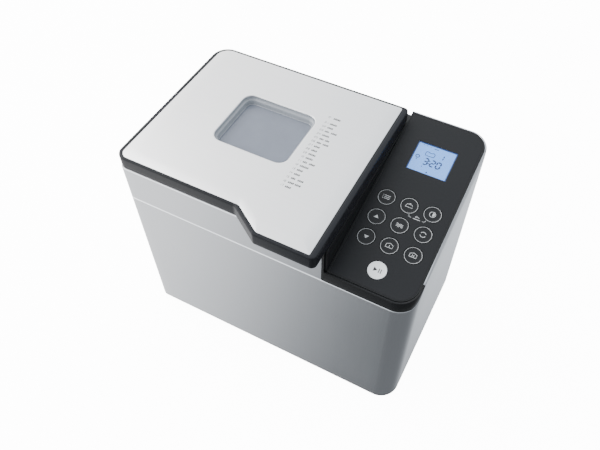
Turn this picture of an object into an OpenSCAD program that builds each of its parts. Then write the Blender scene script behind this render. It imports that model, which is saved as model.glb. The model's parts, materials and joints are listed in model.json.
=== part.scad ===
// Countertop bread machine: wrapped housing, hinged lid with a window, sloping control panel, belt-driven
// kneading paddle in a lift-out pan. Millimetres, +Z up. The origin is at the centre of the whole object's
// footprint, on the surface it stands on. The front faces -Y and the control panel is on the +X side.

/* [Body] */
// Width of the body
body_w = 349; // [320:1:420]
// Depth of the body
body_d = 225; // [215:5:270]
// Height of the main wrap along its front edge
wrap_h = 211; // [205:1:254]
// Height of the band between the wrap and the lid
band_h = 49; // [44:1:60]
// Sheet thickness of the wrap and the band
wall = 2.5; // [2:0.1:3.5]
// Radius of the two left corners
left_r = 10; // [6:1:16]
// Radius of the two right corners
right_r = 24; // [16:1:30]
// Height of a foot
foot_h = 6; // [4:0.5:10]
// Diameter of a foot
foot_d = 20; // [14:1:26]
// Thickness of the base plate
base_t = 3; // [2:0.5:4]
// Width of the bevel along the right top edge
bevel_w = 2.2; // [1:0.1:2.4]
// Height of the bevel along the right top edge
bevel_h = 8; // [4:0.5:10]
// Distance the side vent stands proud
vent_proud = 2; // [1:0.5:3]
// Length of the side vent
vent_len = 140; // [100:5:160]
// Distance the cord gland stands proud
gland_proud = 2; // [1:0.5:4]
// Bore of the cord gland
gland_bore = 7.2; // [6:0.1:9]

/* [Lid] */
// Width of the lid
lid_w = 252; // [242:1:260]
// Thickness of the lid rim
lid_t = 17.5; // [16:0.5:22]
// Distance the grip lip reaches past the body
lip = 22.5; // [14:0.5:30]
// Start of the lip's slant, from the left face
lip_x0 = 150; // [134:1:164]
// Width of the lip's slant
lip_slant = 34; // [22:1:42]
// Rear corner radius of the lid on its left
lid_back_r = 20; // [12:1:26]
// Ledge between the lid and the rear wall
lid_ledge = 9.5; // [9.2:0.1:13.5]
// Thickness of the stainless plate
plate_t = 0.8; // [0.6:0.1:1.2]
// Width of the window
window_w = 92; // [70:1:100]
// Depth of the window
window_d = 81; // [60:1:90]
// Corner radius of the window
window_r = 12; // [6:1:16]
// Distance from the lid's top to the outer pane
window_drop = 10; // [7:0.5:11]
// Thickness of a window pane
pane_t = 3; // [2:0.5:3.5]
// Diameter of a hinge pin
pin_d = 4; // [3:0.5:5]
// Length of a lid knuckle
knuckle_l = 24; // [18:1:30]
// Distance of each hinge from the lid's side
hinge_inset = 48; // [37:1:72]

/* [Baking chamber] */
// Inside width of the chamber
chamber_w = 196; // [188:1:206]
// Inside depth of the chamber
chamber_d = 164; // [158:1:172]
// Corner radius of the chamber
chamber_r = 22; // [16:1:30]
// Height of the chamber floor above the table
chamber_floor = 62; // [58:1:74]
// Chamber centre from the left face
chamber_x = 124.5; // [122:0.5:130]
// Chamber centre from the front face
chamber_y = 106; // [104:0.5:108]
// Sheet thickness of the chamber
liner_t = 1; // [0.8:0.1:1.5]
// Diameter of the heating tube
tube_d = 6.6; // [6:0.1:8]

/* [Bread pan] */
// Outside width of the pan
pan_w = 164; // [150:1:168]
// Outside depth of the pan
pan_d = 128; // [116:1:132]
// Height of the pan's own wall
pan_h = 148; // [130:1:152]
// Wall of the pan
pan_t = 1.2; // [1:0.1:2]
// Corner radius of the pan
pan_r = 18; // [12:1:26]
// Height of the ring that the pan stands on
pan_ring_h = 12; // [11:0.5:16]
// Diameter of the ring that the pan stands on
pan_ring_d = 92; // [84:1:100]
// Diameter of the bail wire
bail_d = 4; // [3:0.5:4.5]
// Reach of the paddle
paddle_reach = 48; // [36:1:52]

/* [Drive] */
// Diameter of the drive and pan shafts
shaft_d = 8; // [6:0.5:10]
// Groove diameter of the large pulley
pulley_big_d = 92; // [76:1:100]
// Groove diameter of the motor pulley
pulley_small_d = 18; // [14:1:24]
// Diameter of the motor can
motor_d = 68; // [58:1:72]
// Height of the motor can
motor_h = 85; // [70:1:95]
// Motor centre from the right face
motor_x = 55; // [52:1:58]
// Motor centre from the front face
motor_y = 62; // [58:1:72]

/* [Control panel] */
// Height of the panel's front edge above the wrap
panel_front_h = 16; // [12:1:20]
// Slope of the panel in degrees
panel_tilt = 10; // [8:0.5:10]
// Diameter of a key
key_d = 20; // [16:0.5:22]
// Spacing of the keys across
key_pitch_x = 26.2; // [24:0.1:27]
// Spacing of the keys along the slope
key_pitch_s = 26.2; // [24:0.1:28]
// Start key's centre from the panel's front edge, along the slope
start_s = 26; // [22:0.5:30]
// Travel of a key
key_travel = 0.6; // [0.3:0.1:0.8]
// Width of the display
lcd_w = 46; // [38:1:52]
// Length of the display along the slope
lcd_l = 40; // [30:1:44]
// Display centre from the panel's front edge, along the slope
lcd_s = 172; // [160:1:180]

/* [Fits] */
// Gap between the lid and what it closes on
lid_gap = 0.6; // [0.4:0.1:1]
// Gap between neighbouring covers
seam = 0.4; // [0.2:0.1:0.6]
// Radial running clearance of a shaft or pin
run = 0.05; // [0.02:0.01:0.08]
// Gap round a key
key_gap = 0.3; // [0.2:0.05:0.5]
// Gap of a pulley's groove under the belt
belt_gap = 0.3; // [0.2:0.05:0.5]

/* [Hidden] */
$fn = 64;
eps = 0.01;
far = 600;

// Faces of the body in the footprint-centred frame
x_left = vent_proud - (body_w + vent_proud) / 2;
x_right = x_left + body_w;
y_front = lip - (lip + body_d + gland_proud) / 2;
y_back = y_front + body_d;

// Levels
z_wrap = foot_h - 1;
z_part = z_wrap + wrap_h;
z_deck = z_part + band_h;
z_lid = z_deck + lid_gap;
z_top = z_lid + lid_t;
deck_t = 3;
tongue_h = 8;
base_z = foot_h;

// Lid and hinge
x_lid = x_left + lid_w;
y_lid = y_back - wall - lid_ledge;
knuckle_r = 4.5;
y_hinge = y_lid + knuckle_r;
z_hinge = z_deck - 2;
lug_l = 8;
lug_gap = 0.5;
pin_reach = knuckle_l / 2 + lug_gap + lug_l;
hinge_x = [x_left + hinge_inset, x_lid - hinge_inset];
pocket_y = y_lid - 5.5;
window_from_left = 122;
window_from_front = 110.5;
window_x = x_left + window_from_left;
window_y = y_front + window_from_front;
rebate_in = 6;
rim_in = 14;
flange_t = 1;
flange_z = z_lid + 1.1;
plug_drop = 7;
plug_gap = 4;
plate_in = [5, 7, 3.4, 2.4, 3.6, 4];
z_pane = z_top - window_drop - pane_t;
z_inner_pane = flange_z - plug_drop + flange_t + 0.1;
sight_w = window_w - 12;
sight_d = window_d - 11;

// Chamber and pan
cx = x_left + chamber_x;
cy = y_front + chamber_y;
z_floor = chamber_floor;
z_liner = z_deck - deck_t - flange_t - 0.2;
floor_hole_r = 15;
z_tube = z_floor + 22;
tube_r = tube_d / 2;
tube_gap = 3.7;
loop_w = chamber_w - 2 * tube_gap - tube_d;
loop_d = chamber_d - 2 * tube_gap - tube_d;
loop_r = 24;
leg_y = 14;
leg_r = 8;
leg_l = 17;
z_pan = z_floor + pan_ring_h + 0.5;
z_rim = z_pan + pan_h;
pan_lip = 4;
bail_r = bail_d / 2;
bail_x = pan_w / 2 + 7;
bail_y = pan_d / 2 + pan_lip + 4;
z_bail = z_rim - 6;
bail_bend = 12;
ear_t = 1.5;
ear_x = pan_w / 2 + pan_lip - ear_t;
post_x = chamber_w / 2 - 16;
post_y = chamber_d / 2 - 18;
post_r = 5.5;
screw_r = 1.9;

// Drive
shaft_r = shaft_d / 2;
hub_r = shaft_r + 9;
bush_r = shaft_r + 4;
bush_l = 8;
flange_r = hub_r + 18;
z_hub = 34;
z_pulley = 18;
pulley_h = 12;
pulley_rim = 3;
belt_t = 2;
belt_h = 8;
z_belt = z_pulley + (pulley_h - belt_h) / 2;
coupler_r = 12;
z_coupler = z_floor + 1.6;
coupler_t = 3.4;
dog_h = 4.6;
bar_w = 6;
mx = x_right - motor_x;
my = y_front + motor_y;
z_motor = 50;
mount_t = 4;
mount_over = 7;
mount_leg_r = 3.5;
motor_shaft_r = 3;

// Panel: the slope's own frame starts at the front face, on the panel's left edge
x_panel = x_lid + 1.5;
panel_w = x_right - wall - x_panel;
z_panel_front = z_part + panel_front_h;
overlay_t = 1.5;
cover_t = 3;
board_t = 1.6;
board_drop = 13;
switch_h = 3.5;
flange_d = 1.8;
key_x = x_panel + 45.5;
key_s = [start_s + 30.2 + 2 * key_pitch_s, start_s + 30.2 + key_pitch_s, start_s + 30.2];
key_places = [for (s = key_s) for (i = [-1:1]) [key_x + i * key_pitch_x, s]];
start_place = [key_x, start_s];
fascia_taper = 20;
fascia_y = y_front + right_r - 13;
fascia_end = fascia_y + fascia_taper;

STEEL = "#dfe1e3";
SILVER = "#b4b8be";
BLACK = "#303236";
DARK = "#44474c";
GREY = "#8c9096";
COPPER = "#b8823c";
GREEN = "#2f6b46";
RUBBER = "#26282b";
GLASS = "#8c96aa";
CREAM = "#e6e2d6";

// Outlines

// Points of an arc that rounds corner p between its neighbours a and b, one point per 7.5 degrees
function rounded(a, p, b) =
  p[2] <= 0 ? [[p[0], p[1]]] :
  let (
    c = [p[0], p[1]],
    u = ([a[0], a[1]] - c) / norm([a[0], a[1]] - c),
    v = ([b[0], b[1]] - c) / norm([b[0], b[1]] - c)
  )
  norm(u + v) < eps ? [c] :
  let (
    half = acos(u * v) / 2,
    middle = c + (u + v) / norm(u + v) * p[2] / sin(half),
    from = c + u * p[2] / tan(half) - middle,
    to = c + v * p[2] / tan(half) - middle,
    a0 = atan2(from[1], from[0]),
    turn = (atan2(to[1], to[0]) - a0 + 540) % 360 - 180,
    steps = max(1, round(abs(turn) / 7.5))
  )
  [for (i = [0:steps]) middle + p[2] * [cos(a0 + turn * i / steps), sin(a0 + turn * i / steps)]];

// Outline through corners [x, y, radius]
function outline(corners) =
  let (n = len(corners))
  [for (i = [0:n - 1]) each rounded(corners[(i + n - 1) % n], corners[i], corners[(i + 1) % n])];

// Rectangle from one corner to the other, with its left and right corner radii
function box_outline(x0, x1, y0, y1, rl, rr) =
  outline([[x0, y0, rl], [x1, y0, rr], [x1, y1, rr], [x0, y1, rl]]);

function centred(w, d, r) = box_outline(-w / 2, w / 2, -d / 2, d / 2, r, r);

// The body's outline, moved in by a distance
module body_shape(inset = 0) {
  polygon(box_outline(x_left + inset, x_right - inset, y_front + inset, y_back - inset,
    max(left_r - inset, 0.5), right_r - inset));
}

// The lid's outline, moved in from its left, right, back, front and lip edges, and from its slant if given
module lid_shape(in = [0, 0, 0, 0, 0], r = 12) {
  left_corner = max(r - in[0], 2);
  rear_corner = max(lid_back_r - in[0], 2);
  reach = lip + in[3] - in[4];
  jog_x = x_left + lip_x0 + (len(in) > 5 ? in[5] : in[3] * 0.5);
  jog = reach < eps ? [] : [
    [jog_x, y_front + in[3], 8],
    [jog_x + reach * lip_slant / lip, y_front - lip + in[4], 5]
  ];
  polygon(outline(concat(
    [[x_left + in[0], y_front + in[3], left_corner]],
    jog,
    [
      [x_lid - in[1], y_front + in[3] - reach, max(6 - in[1], 1)],
      [x_lid - in[1], y_lid - in[2], max(5 - in[1], 2)],
      [x_left + in[0], y_lid - in[2], rear_corner]
    ]
  )));
}

// A flat ring between two outlines
module ring(outer, inner, z, h) {
  translate([0, 0, z])
    linear_extrude(h)
      difference() {
        polygon(outer);
        polygon(inner);
      }
}

module slab(points, z, h) {
  translate([0, 0, z]) linear_extrude(h) polygon(points);
}

// Prism along X from x0 to x1, drawn by its [y, z] side view
module side_prism(x0, x1, points) {
  translate([x0, 0, 0])
    rotate([90, 0, 90])
      linear_extrude(x1 - x0)
        polygon(points);
}

module bar_x(x0, x1, y, z, r) {
  translate([x0, y, z]) rotate([0, 90, 0]) cylinder(h = x1 - x0, r = r);
}

module bar_y(x, y0, y1, z, r) {
  translate([x, y0, z]) rotate([-90, 0, 0]) cylinder(h = y1 - y0, r = r);
}

// Height of the panel's surface at a distance from the front face, less a depth measured straight down
function panel_z(y, depth = 0) = z_panel_front + (y - y_front) * tan(panel_tilt) - depth;

// Places its children on the slope: x across, y up the slope, z out of the panel
module on_panel() {
  translate([0, y_front, z_panel_front]) rotate([panel_tilt, 0, 0]) children();
}

module key_at(place) {
  on_panel() translate([place[0], place[1], 0]) children();
}

// Everything above the panel's surface, lowered by a depth
module above_panel(depth = 0, x0 = -far, x1 = far) {
  side_prism(x0, x1, [
    [y_front - far / 4, panel_z(y_front - far / 4, depth)],
    [y_back + far / 4, panel_z(y_back + far / 4, depth)],
    [y_back + far / 4, far],
    [y_front - far / 4, far]
  ]);
}

// Housing

x_split = x_lid - 3.5;

module housing_wrap() {
  color(SILVER)
    difference() {
      translate([0, 0, z_wrap])
        linear_extrude(z_top - z_wrap)
          difference() {
            body_shape();
            body_shape(wall);
          }
      translate([-far, -far, z_part]) cube([far + x_split, 2 * far, far]);
      translate([-far, -far, z_deck]) cube([far + x_panel, 2 * far, far]);
      above_panel();
      side_prism(x_split - 1, far, [
        [y_front - far, z_part],
        [fascia_y, z_part],
        [fascia_end, panel_z(fascia_end) + eps],
        [fascia_end, far],
        [y_front - far, far]
      ]);
      bevel_cut();
      bar_y(gland_x, y_back - far / 4, y_back + far / 4, gland_z, gland_r + 0.2);
      vent_slots(y_back - wall - 1, y_back + 1);
    }
}

// What the bevel takes off: it leans from the right face in to the panel's edge
module bevel_cut() {
  translate([x_right, y_front, z_panel_front - bevel_h])
    rotate([panel_tilt, 0, 0])
      rotate([0, -atan(bevel_w / bevel_h), 0])
        translate([0, -far / 4, 0])
          cube([20, far, 60]);
}

slot_w = 3;
slot_l = 60;
slot_pitch = 7;
slot_count = 10;

// Upright cooling slots through the rear wall behind the electronics
module vent_slots(y0, y1) {
  for (i = [0:slot_count - 1])
    translate([x_right - right_r - 20 - i * slot_pitch, y0, z_wrap + 70])
      cube([slot_w, y1 - y0, slot_l]);
}

module upper_band() {
  color(SILVER)
    difference() {
      union() {
        translate([0, 0, z_part + seam])
          linear_extrude(band_h - seam)
            difference() {
              body_shape();
              body_shape(wall);
            }
        translate([0, 0, z_part - tongue_h])
          linear_extrude(tongue_h + 4)
            difference() {
              body_shape(wall + 0.2);
              body_shape(wall + 2.2);
            }
        translate([0, 0, z_part + seam])
          linear_extrude(3)
            difference() {
              body_shape(wall - 0.5);
              body_shape(wall + 2.2);
            }
      }
      translate([x_split, -far, 0]) cube([far, 2 * far, far]);
      vent_recess(0);
    }
}

vent_y0 = y_front + 14;
vent_z0 = z_part + 3.5;
vent_h = 18;

module vent_recess(gap) {
  translate([x_left - 5, vent_y0 + 4 - gap, vent_z0 + 4 - gap])
    cube([5 + wall + 3, vent_len - 8 + 2 * gap, vent_h - 8 + 2 * gap]);
}

module side_vent() {
  color(GREY)
    difference() {
      union() {
        translate([x_left - vent_proud, vent_y0, vent_z0]) cube([vent_proud, vent_len, vent_h]);
        translate([x_left - eps, vent_y0 + 4 + seam, vent_z0 + 4 + seam])
          cube([wall, vent_len - 8 - 2 * seam, vent_h - 8 - 2 * seam]);
      }
      for (i = [0:floor((vent_len - 20) / 7)])
        translate([x_left - far / 8, vent_y0 + 7 + i * 7, vent_z0 + 5.5]) cube([far / 4, 3, vent_h - 11]);
    }
}

// Points of the opening in the deck, which is the chamber's own inside outline
function chamber_points(grow = 0) =
  box_outline(cx - chamber_w / 2 - grow, cx + chamber_w / 2 + grow, cy - chamber_d / 2 - grow,
    cy + chamber_d / 2 + grow, chamber_r + grow, chamber_r + grow);

module deck_frame() {
  deck_in = wall + 0.3;
  color(BLACK)
    difference() {
      union() {
        translate([0, 0, z_deck - deck_t])
          linear_extrude(deck_t)
            intersection() {
              body_shape(deck_in);
              translate([-far, -far]) square([far + x_lid - 1, 2 * far]);
            }
        translate([x_split + 0.2, y_front + deck_in, z_part - tongue_h])
          cube([x_panel - x_split - 0.5, body_d - 2 * deck_in, z_deck - z_part + tongue_h]);
        translate([x_split + 0.2, y_front + 0.3, z_part + seam]) cube([2.3, wall + 1, band_h - seam]);
        for (x = hinge_x) hinge_lugs(x);
      }
      slab(chamber_points(), 0, far);
      for (x = hinge_x)
        translate([x - knuckle_l / 2 - lug_gap, pocket_y, z_hinge - 9])
          cube([knuckle_l + 2 * lug_gap, y_back - pocket_y, far / 4]);
      for (x = hinge_x) bar_x(x - far / 8, x + far / 8, y_hinge, z_hinge, pin_d / 2);
    }
}

module hinge_lugs(x) {
  bar_x(x - pin_reach, x + pin_reach, y_hinge, z_hinge, knuckle_r);
  translate([x - pin_reach, y_hinge - knuckle_r, z_hinge - 7])
    cube([2 * pin_reach, 2 * knuckle_r, 7]);
}

module hinge_pins() {
  color(STEEL)
    for (x = hinge_x)
      bar_x(x - pin_reach, x + pin_reach, y_hinge, z_hinge, pin_d / 2);
}

module base_plate() {
  color(DARK)
    difference() {
      translate([0, 0, base_z]) linear_extrude(base_t) body_shape(wall + 0.3);
      for (p = post_places) translate([p[0], p[1], 0]) cylinder(h = far, r = screw_r + 0.3);
      for (i = [0:7])
        translate([mx - 26 + i * 7, my - 20, 0]) cube([3, 40, far / 8]);
    }
}

post_places = [for (i = [-1, 1]) for (j = [-1, 1]) [cx + i * post_x, cy + j * post_y]];
foot_places = [
  for (x = [x_left + 28, x_right - 34]) for (y = [y_front + 28, y_back - 30]) [x, y]
];

module feet() {
  color(RUBBER)
    for (p = foot_places)
      translate([p[0], p[1], 0])
        rotate_extrude()
          polygon([[0, 0], [foot_d / 2 - 1.5, 0], [foot_d / 2, 1.5], [foot_d / 2 - 1, foot_h], [0, foot_h]]);
}

module base_screws() {
  color(STEEL)
    for (p = post_places)
      translate([p[0], p[1], 0]) {
        translate([0, 0, base_z - 2]) cylinder(h = 2, r = 3.6);
        translate([0, 0, base_z - 2]) cylinder(h = 16, r = screw_r);
      }
}

gland_r = 7;
gland_x = x_right - right_r - 14;
gland_z = z_wrap + 34;

module cord_gland() {
  color(RUBBER)
    difference() {
      union() {
        bar_y(gland_x, y_back - wall - 3, y_back + eps, gland_z, gland_r);
        bar_y(gland_x, y_back, y_back + gland_proud, gland_z, gland_r + 3);
        bar_y(gland_x, y_back - wall - 9, y_back - wall - 0.2, gland_z, gland_r + 2);
      }
      bar_y(gland_x, y_back - 40, y_back + 40, gland_z, gland_bore / 2);
    }
}

// Control panel

skirt_t = 2.5;

// Plan outline of the panel housing, moved in by a distance
function panel_frame(inset = 0) =
  box_outline(x_panel + inset, x_right - wall - 0.2 - inset, y_front + wall + 0.3 + inset,
    y_back - wall - 0.3 - inset, 0.6, right_r - wall - inset);

module panel_housing() {
  color(BLACK)
    difference() {
      slab(panel_frame(), z_part - 20, far / 4);
      above_panel();
      difference() {
        slab(panel_frame(skirt_t), 0, far);
        above_panel(overlay_t / cos(panel_tilt) + cover_t);
      }
      on_panel() translate([0, 0, -overlay_t]) linear_extrude(far) overlay_shape(0.15);
      for (p = key_places) key_at(p) key_well();
      key_at(start_place) key_well();
      on_panel() translate([key_x - lcd_w / 2, lcd_s - lcd_l / 2, -far / 8]) cube([lcd_w, lcd_l, far / 4]);
    }
}

module key_well() {
  translate([0, 0, -far / 8]) cylinder(h = far / 4, r = key_d / 2 + 1.6);
}

// The overlay's outline, drawn on the slope
module overlay_shape(grow = 0) {
  x0 = x_panel + 2 - grow;
  x1 = x_right - wall - 2 + grow;
  s1 = body_d / cos(panel_tilt);
  polygon(box_outline(x0, x1, wall + 1.5 - grow, s1 - wall - 2 + grow, 1 + grow, right_r - wall - 2 + grow));
}

module panel_overlay() {
  color(BLACK)
    difference() {
      on_panel() translate([0, 0, -overlay_t]) linear_extrude(overlay_t) overlay_shape();
      for (p = key_places) key_at(p) translate([0, 0, -5]) cylinder(h = 10, r = key_d / 2 + key_gap);
      key_at(start_place) translate([0, 0, -5]) cylinder(h = 10, r = key_d / 2 + key_gap);
      on_panel() translate([key_x - lcd_w / 2, lcd_s - lcd_l / 2, -5]) cube([lcd_w, lcd_l, 10]);
    }
}

// Strip under the panel's front edge, running round the right corner and tapering out along the side
module front_fascia() {
  color(BLACK)
    difference() {
      translate([0, 0, z_part + seam])
        linear_extrude(far / 4)
          difference() {
            body_shape();
            body_shape(wall);
          }
      above_panel();
      translate([-far, -far, 0]) cube([far + x_split + 2.8, 2 * far, far]);
      side_prism(-far, far, [
        [fascia_y - seam, z_part - eps],
        [fascia_end - seam, panel_z(fascia_end)],
        [fascia_end - seam, far],
        [far, far],
        [far, 0],
        [fascia_y - seam, 0]
      ]);
    }
}

module lcd_lens() {
  color(GLASS)
    on_panel()
      translate([key_x - lcd_w / 2 + 0.1, lcd_s - lcd_l / 2 + 0.1, -overlay_t])
        cube([lcd_w - 0.2, lcd_l - 0.2, overlay_t]);
}

module lcd_module() {
  color(GREEN)
    on_panel()
      translate([key_x - lcd_w / 2 - 3, lcd_s - lcd_l / 2 - 3, -board_drop])
        cube([lcd_w + 6, lcd_l + 6, board_drop - cover_t - overlay_t - 0.3]);
}

module control_board() {
  color(GREEN)
    on_panel()
      translate([x_panel + 8, start_s - 14, -board_drop - board_t])
        cube([panel_w - 18, lcd_s + lcd_l / 2 + 20 - start_s, board_t]);
}

module tact_switches() {
  color(DARK)
    for (p = concat(key_places, [start_place]))
      key_at(p)
        translate([0, 0, -board_drop]) {
          translate([-3, -3, 0]) cube([6, 6, switch_h - 0.6]);
          cylinder(h = switch_h, r = 1.7);
        }
}

// A key: a disc flush in the overlay, a flange that keeps it from coming out, and a stem over its switch
module push_key(place, shade = BLACK) {
  color(shade)
    key_at(place) {
      translate([0, 0, -overlay_t - 0.3 - flange_d]) cylinder(h = overlay_t + 0.5 + flange_d, r = key_d / 2);
      translate([0, 0, -overlay_t - 0.3 - flange_d]) cylinder(h = flange_d, r = key_d / 2 + 1);
      translate([0, 0, -board_drop + switch_h + key_travel + 0.1])
        cylinder(h = board_drop - switch_h - key_travel - overlay_t, r = 2.6);
    }
}

module key_a1() push_key(key_places[0]);
module key_a2() push_key(key_places[1]);
module key_a3() push_key(key_places[2]);
module key_b1() push_key(key_places[3]);
module key_b2() push_key(key_places[4]);
module key_b3() push_key(key_places[5]);
module key_c1() push_key(key_places[6]);
module key_c2() push_key(key_places[7]);
module key_c3() push_key(key_places[8]);
module key_start() push_key(start_place, CREAM);

// Baking chamber

module chamber_liner() {
  color(STEEL)
    difference() {
      union() {
        slab(chamber_points(liner_t), z_floor - liner_t, z_liner - z_floor + liner_t);
        slab(chamber_points(8), z_liner - eps, flange_t + eps);
      }
      slab(chamber_points(), z_floor, far);
      translate([cx, cy, 0]) cylinder(h = z_floor + 5, r = floor_hole_r);
      for (j = [-1, 1]) bar_x(cx, cx + far / 4, cy + j * leg_y, z_tube, insulator_r);
      bar_x(cx, cx + far / 4, sensor_y, sensor_z, sensor_r);
    }
}

module chamber_supports() {
  color(GREY)
    for (p = post_places)
      translate([p[0], p[1], 0])
        difference() {
          translate([0, 0, base_z + base_t])
            cylinder(h = z_floor - liner_t - base_z - base_t, r = post_r);
          cylinder(h = base_z + 18, r = screw_r);
        }
}

// Quarter bend of round bar: centre, start angle, bend radius
module bend(x, y, z, a, r, wire_r) {
  translate([x, y, z])
    rotate([0, 0, a])
      rotate_extrude(angle = 90)
        translate([r, 0]) circle(r = wire_r);
}

module heating_element() {
  hx = loop_w / 2;
  hy = loop_d / 2;
  color(GREY)
    union() {
      bar_x(cx - hx + loop_r, cx + hx - loop_r, cy - hy, z_tube, tube_r);
      bar_x(cx - hx + loop_r, cx + hx - loop_r, cy + hy, z_tube, tube_r);
      bar_y(cx - hx, cy - hy + loop_r, cy + hy - loop_r, z_tube, tube_r);
      for (j = [-1, 1])
        translate([0, cy, 0])
          mirror([0, j < 0 ? 1 : 0, 0])
            translate([0, -cy, 0])
              half_loop(hx, hy);
    }
}

module half_loop(hx, hy) {
  bar_y(cx + hx, cy + leg_y + leg_r, cy + hy - loop_r, z_tube, tube_r);
  bend(cx + hx - loop_r, cy + hy - loop_r, z_tube, 0, loop_r, tube_r);
  bend(cx - hx + loop_r, cy + hy - loop_r, z_tube, 90, loop_r, tube_r);
  bend(cx + hx + leg_r, cy + leg_y + leg_r, z_tube, 180, leg_r, tube_r);
  bar_x(cx + hx + leg_r, cx + hx + leg_r + leg_l, cy + leg_y, z_tube, tube_r);
}

insulator_r = 6;

module element_insulators() {
  color(CREAM)
    for (j = [-1, 1])
      difference() {
        union() {
          bar_x(cx + chamber_w / 2 - 0.5, cx + chamber_w / 2 + 9, cy + j * leg_y, z_tube, insulator_r);
          bar_x(cx + chamber_w / 2 + liner_t, cx + chamber_w / 2 + 4, cy + j * leg_y, z_tube, insulator_r + 2);
        }
        bar_x(cx, cx + far / 4, cy + j * leg_y, z_tube, tube_r);
        translate([cx + loop_w / 2 + leg_r, cy + j * (leg_y + leg_r), z_tube])
          rotate_extrude() translate([leg_r, 0]) circle(r = tube_r);
      }
}

sensor_r = 3;
sensor_y = cy + 40;
sensor_z = z_floor + 80;

module temperature_sensor() {
  color(COPPER)
    union() {
      bar_x(cx + chamber_w / 2 - 5, cx + chamber_w / 2 + 12, sensor_y, sensor_z, sensor_r);
      bar_x(cx + chamber_w / 2 + liner_t, cx + chamber_w / 2 + 3, sensor_y, sensor_z, sensor_r + 3);
    }
}

clip_w = 16;
clip_gap = 0.4;

// Two spring clips on the chamber floor, one each side of the ring that the pan stands on
module pan_clips() {
  color(STEEL)
    for (i = [-1, 1])
      translate([cx, cy, z_floor])
        mirror([i < 0 ? 1 : 0, 0, 0]) {
          translate([pan_ring_d / 2 + clip_gap, -clip_w / 2, 0]) cube([1, clip_w, pan_ring_h - 3]);
          translate([pan_ring_d / 2 + clip_gap, -clip_w / 2, 0]) cube([11, clip_w, 1]);
        }
}

// Drive

module bearing_housing() {
  color(GREY)
    translate([cx, cy, 0])
      difference() {
        union() {
          translate([0, 0, z_hub]) cylinder(h = z_floor - z_hub, r = hub_r);
          translate([0, 0, z_floor - liner_t - 4]) cylinder(h = 4, r = flange_r);
          translate([0, 0, z_floor - liner_t - eps]) cylinder(h = liner_t + 0.6, r = floor_hole_r - 0.2);
        }
        translate([0, 0, z_hub - 1]) cylinder(h = far, r = bush_r);
      }
}

module shaft_bushes() {
  color(COPPER)
    for (z = [z_hub, z_floor + 0.4 - bush_l])
      translate([cx, cy, z])
        difference() {
          cylinder(h = bush_l, r = bush_r);
          translate([0, 0, -1]) cylinder(h = bush_l + 2, r = shaft_r + run);
        }
}

module drive_shaft() {
  color(STEEL)
    translate([cx, cy, z_pulley - 3]) cylinder(h = z_coupler + coupler_t - z_pulley + 3, r = shaft_r);
}

// A grooved pulley with side flanges
module pulley(r, bore_r) {
  lip_t = (pulley_h - belt_h) / 2 - 0.3;
  difference() {
    union() {
      cylinder(h = pulley_h, r = r);
      cylinder(h = lip_t, r = r + pulley_rim);
      translate([0, 0, pulley_h - lip_t]) cylinder(h = lip_t, r = r + pulley_rim);
    }
    translate([0, 0, -1]) cylinder(h = pulley_h + 2, r = bore_r);
  }
}

module large_pulley() {
  web_r = (pulley_big_d / 2 + shaft_r) / 2;
  color(DARK)
    translate([cx, cy, z_pulley])
      difference() {
        pulley(pulley_big_d / 2, shaft_r);
        for (a = [0:60:300])
          rotate([0, 0, a]) translate([web_r, 0, -1]) cylinder(h = pulley_h + 2, r = 9);
      }
}

module motor_pulley() {
  color(DARK) translate([mx, my, z_pulley]) pulley(pulley_small_d / 2, motor_shaft_r);
}

module motor_shaft() {
  color(STEEL) translate([mx, my, z_pulley - 2]) cylinder(h = z_motor + 10 - z_pulley + 2, r = motor_shaft_r);
}

// Outline of a belt round both pulleys at a distance from their grooves
module belt_shape(grow) {
  r1 = pulley_big_d / 2 + grow;
  r2 = pulley_small_d / 2 + grow;
  span = [mx - cx, my - cy];
  aim = atan2(span[1], span[0]);
  lean = acos((r1 - r2) / norm(span));
  translate([cx, cy]) circle(r = r1);
  translate([mx, my]) circle(r = r2);
  polygon([
    [cx, cy] + r1 * [cos(aim + lean), sin(aim + lean)],
    [cx, cy] + r1 * [cos(aim - lean), sin(aim - lean)],
    [mx, my] + r2 * [cos(aim - lean), sin(aim - lean)],
    [mx, my] + r2 * [cos(aim + lean), sin(aim + lean)]
  ]);
}

module drive_belt() {
  color(RUBBER)
    translate([0, 0, z_belt])
      linear_extrude(belt_h)
        difference() {
          belt_shape(belt_gap + belt_t);
          belt_shape(belt_gap);
        }
}

// The dogs on the drive side push the bar on the pan side
module drive_coupler() {
  color(GREY)
    translate([cx, cy, z_coupler])
      difference() {
        union() {
          cylinder(h = coupler_t, r = coupler_r);
          for (a = [0, 180])
            rotate([0, 0, a])
              translate([5, bar_w / 2 + 0.4, coupler_t - eps]) cube([5, 4, dog_h + eps]);
        }
        translate([0, 0, -1]) cylinder(h = coupler_t + 2, r = shaft_r);
      }
}

module pan_coupler() {
  color(GREY)
    translate([cx, cy, z_coupler + coupler_t + 0.5])
      difference() {
        translate([-11, -bar_w / 2, 0]) cube([22, bar_w, dog_h]);
        translate([0, 0, -1]) cylinder(h = dog_h + 2, r = 2.5);
      }
}

module motor_housing() {
  color(GREY)
    translate([mx, my, z_motor])
      difference() {
        union() {
          cylinder(h = motor_h, r = motor_d / 2);
          translate([0, 0, -mount_t - 2]) cylinder(h = mount_t + 3, r = 11);
        }
        translate([0, 0, -far / 4]) cylinder(h = far / 4 + 11, r = motor_shaft_r + run);
        for (a = [0:45:315])
          rotate([0, 0, a + 22.5]) translate([motor_d / 2 - 6, -3, 30]) cube([10, 6, 30]);
      }
}

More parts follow.
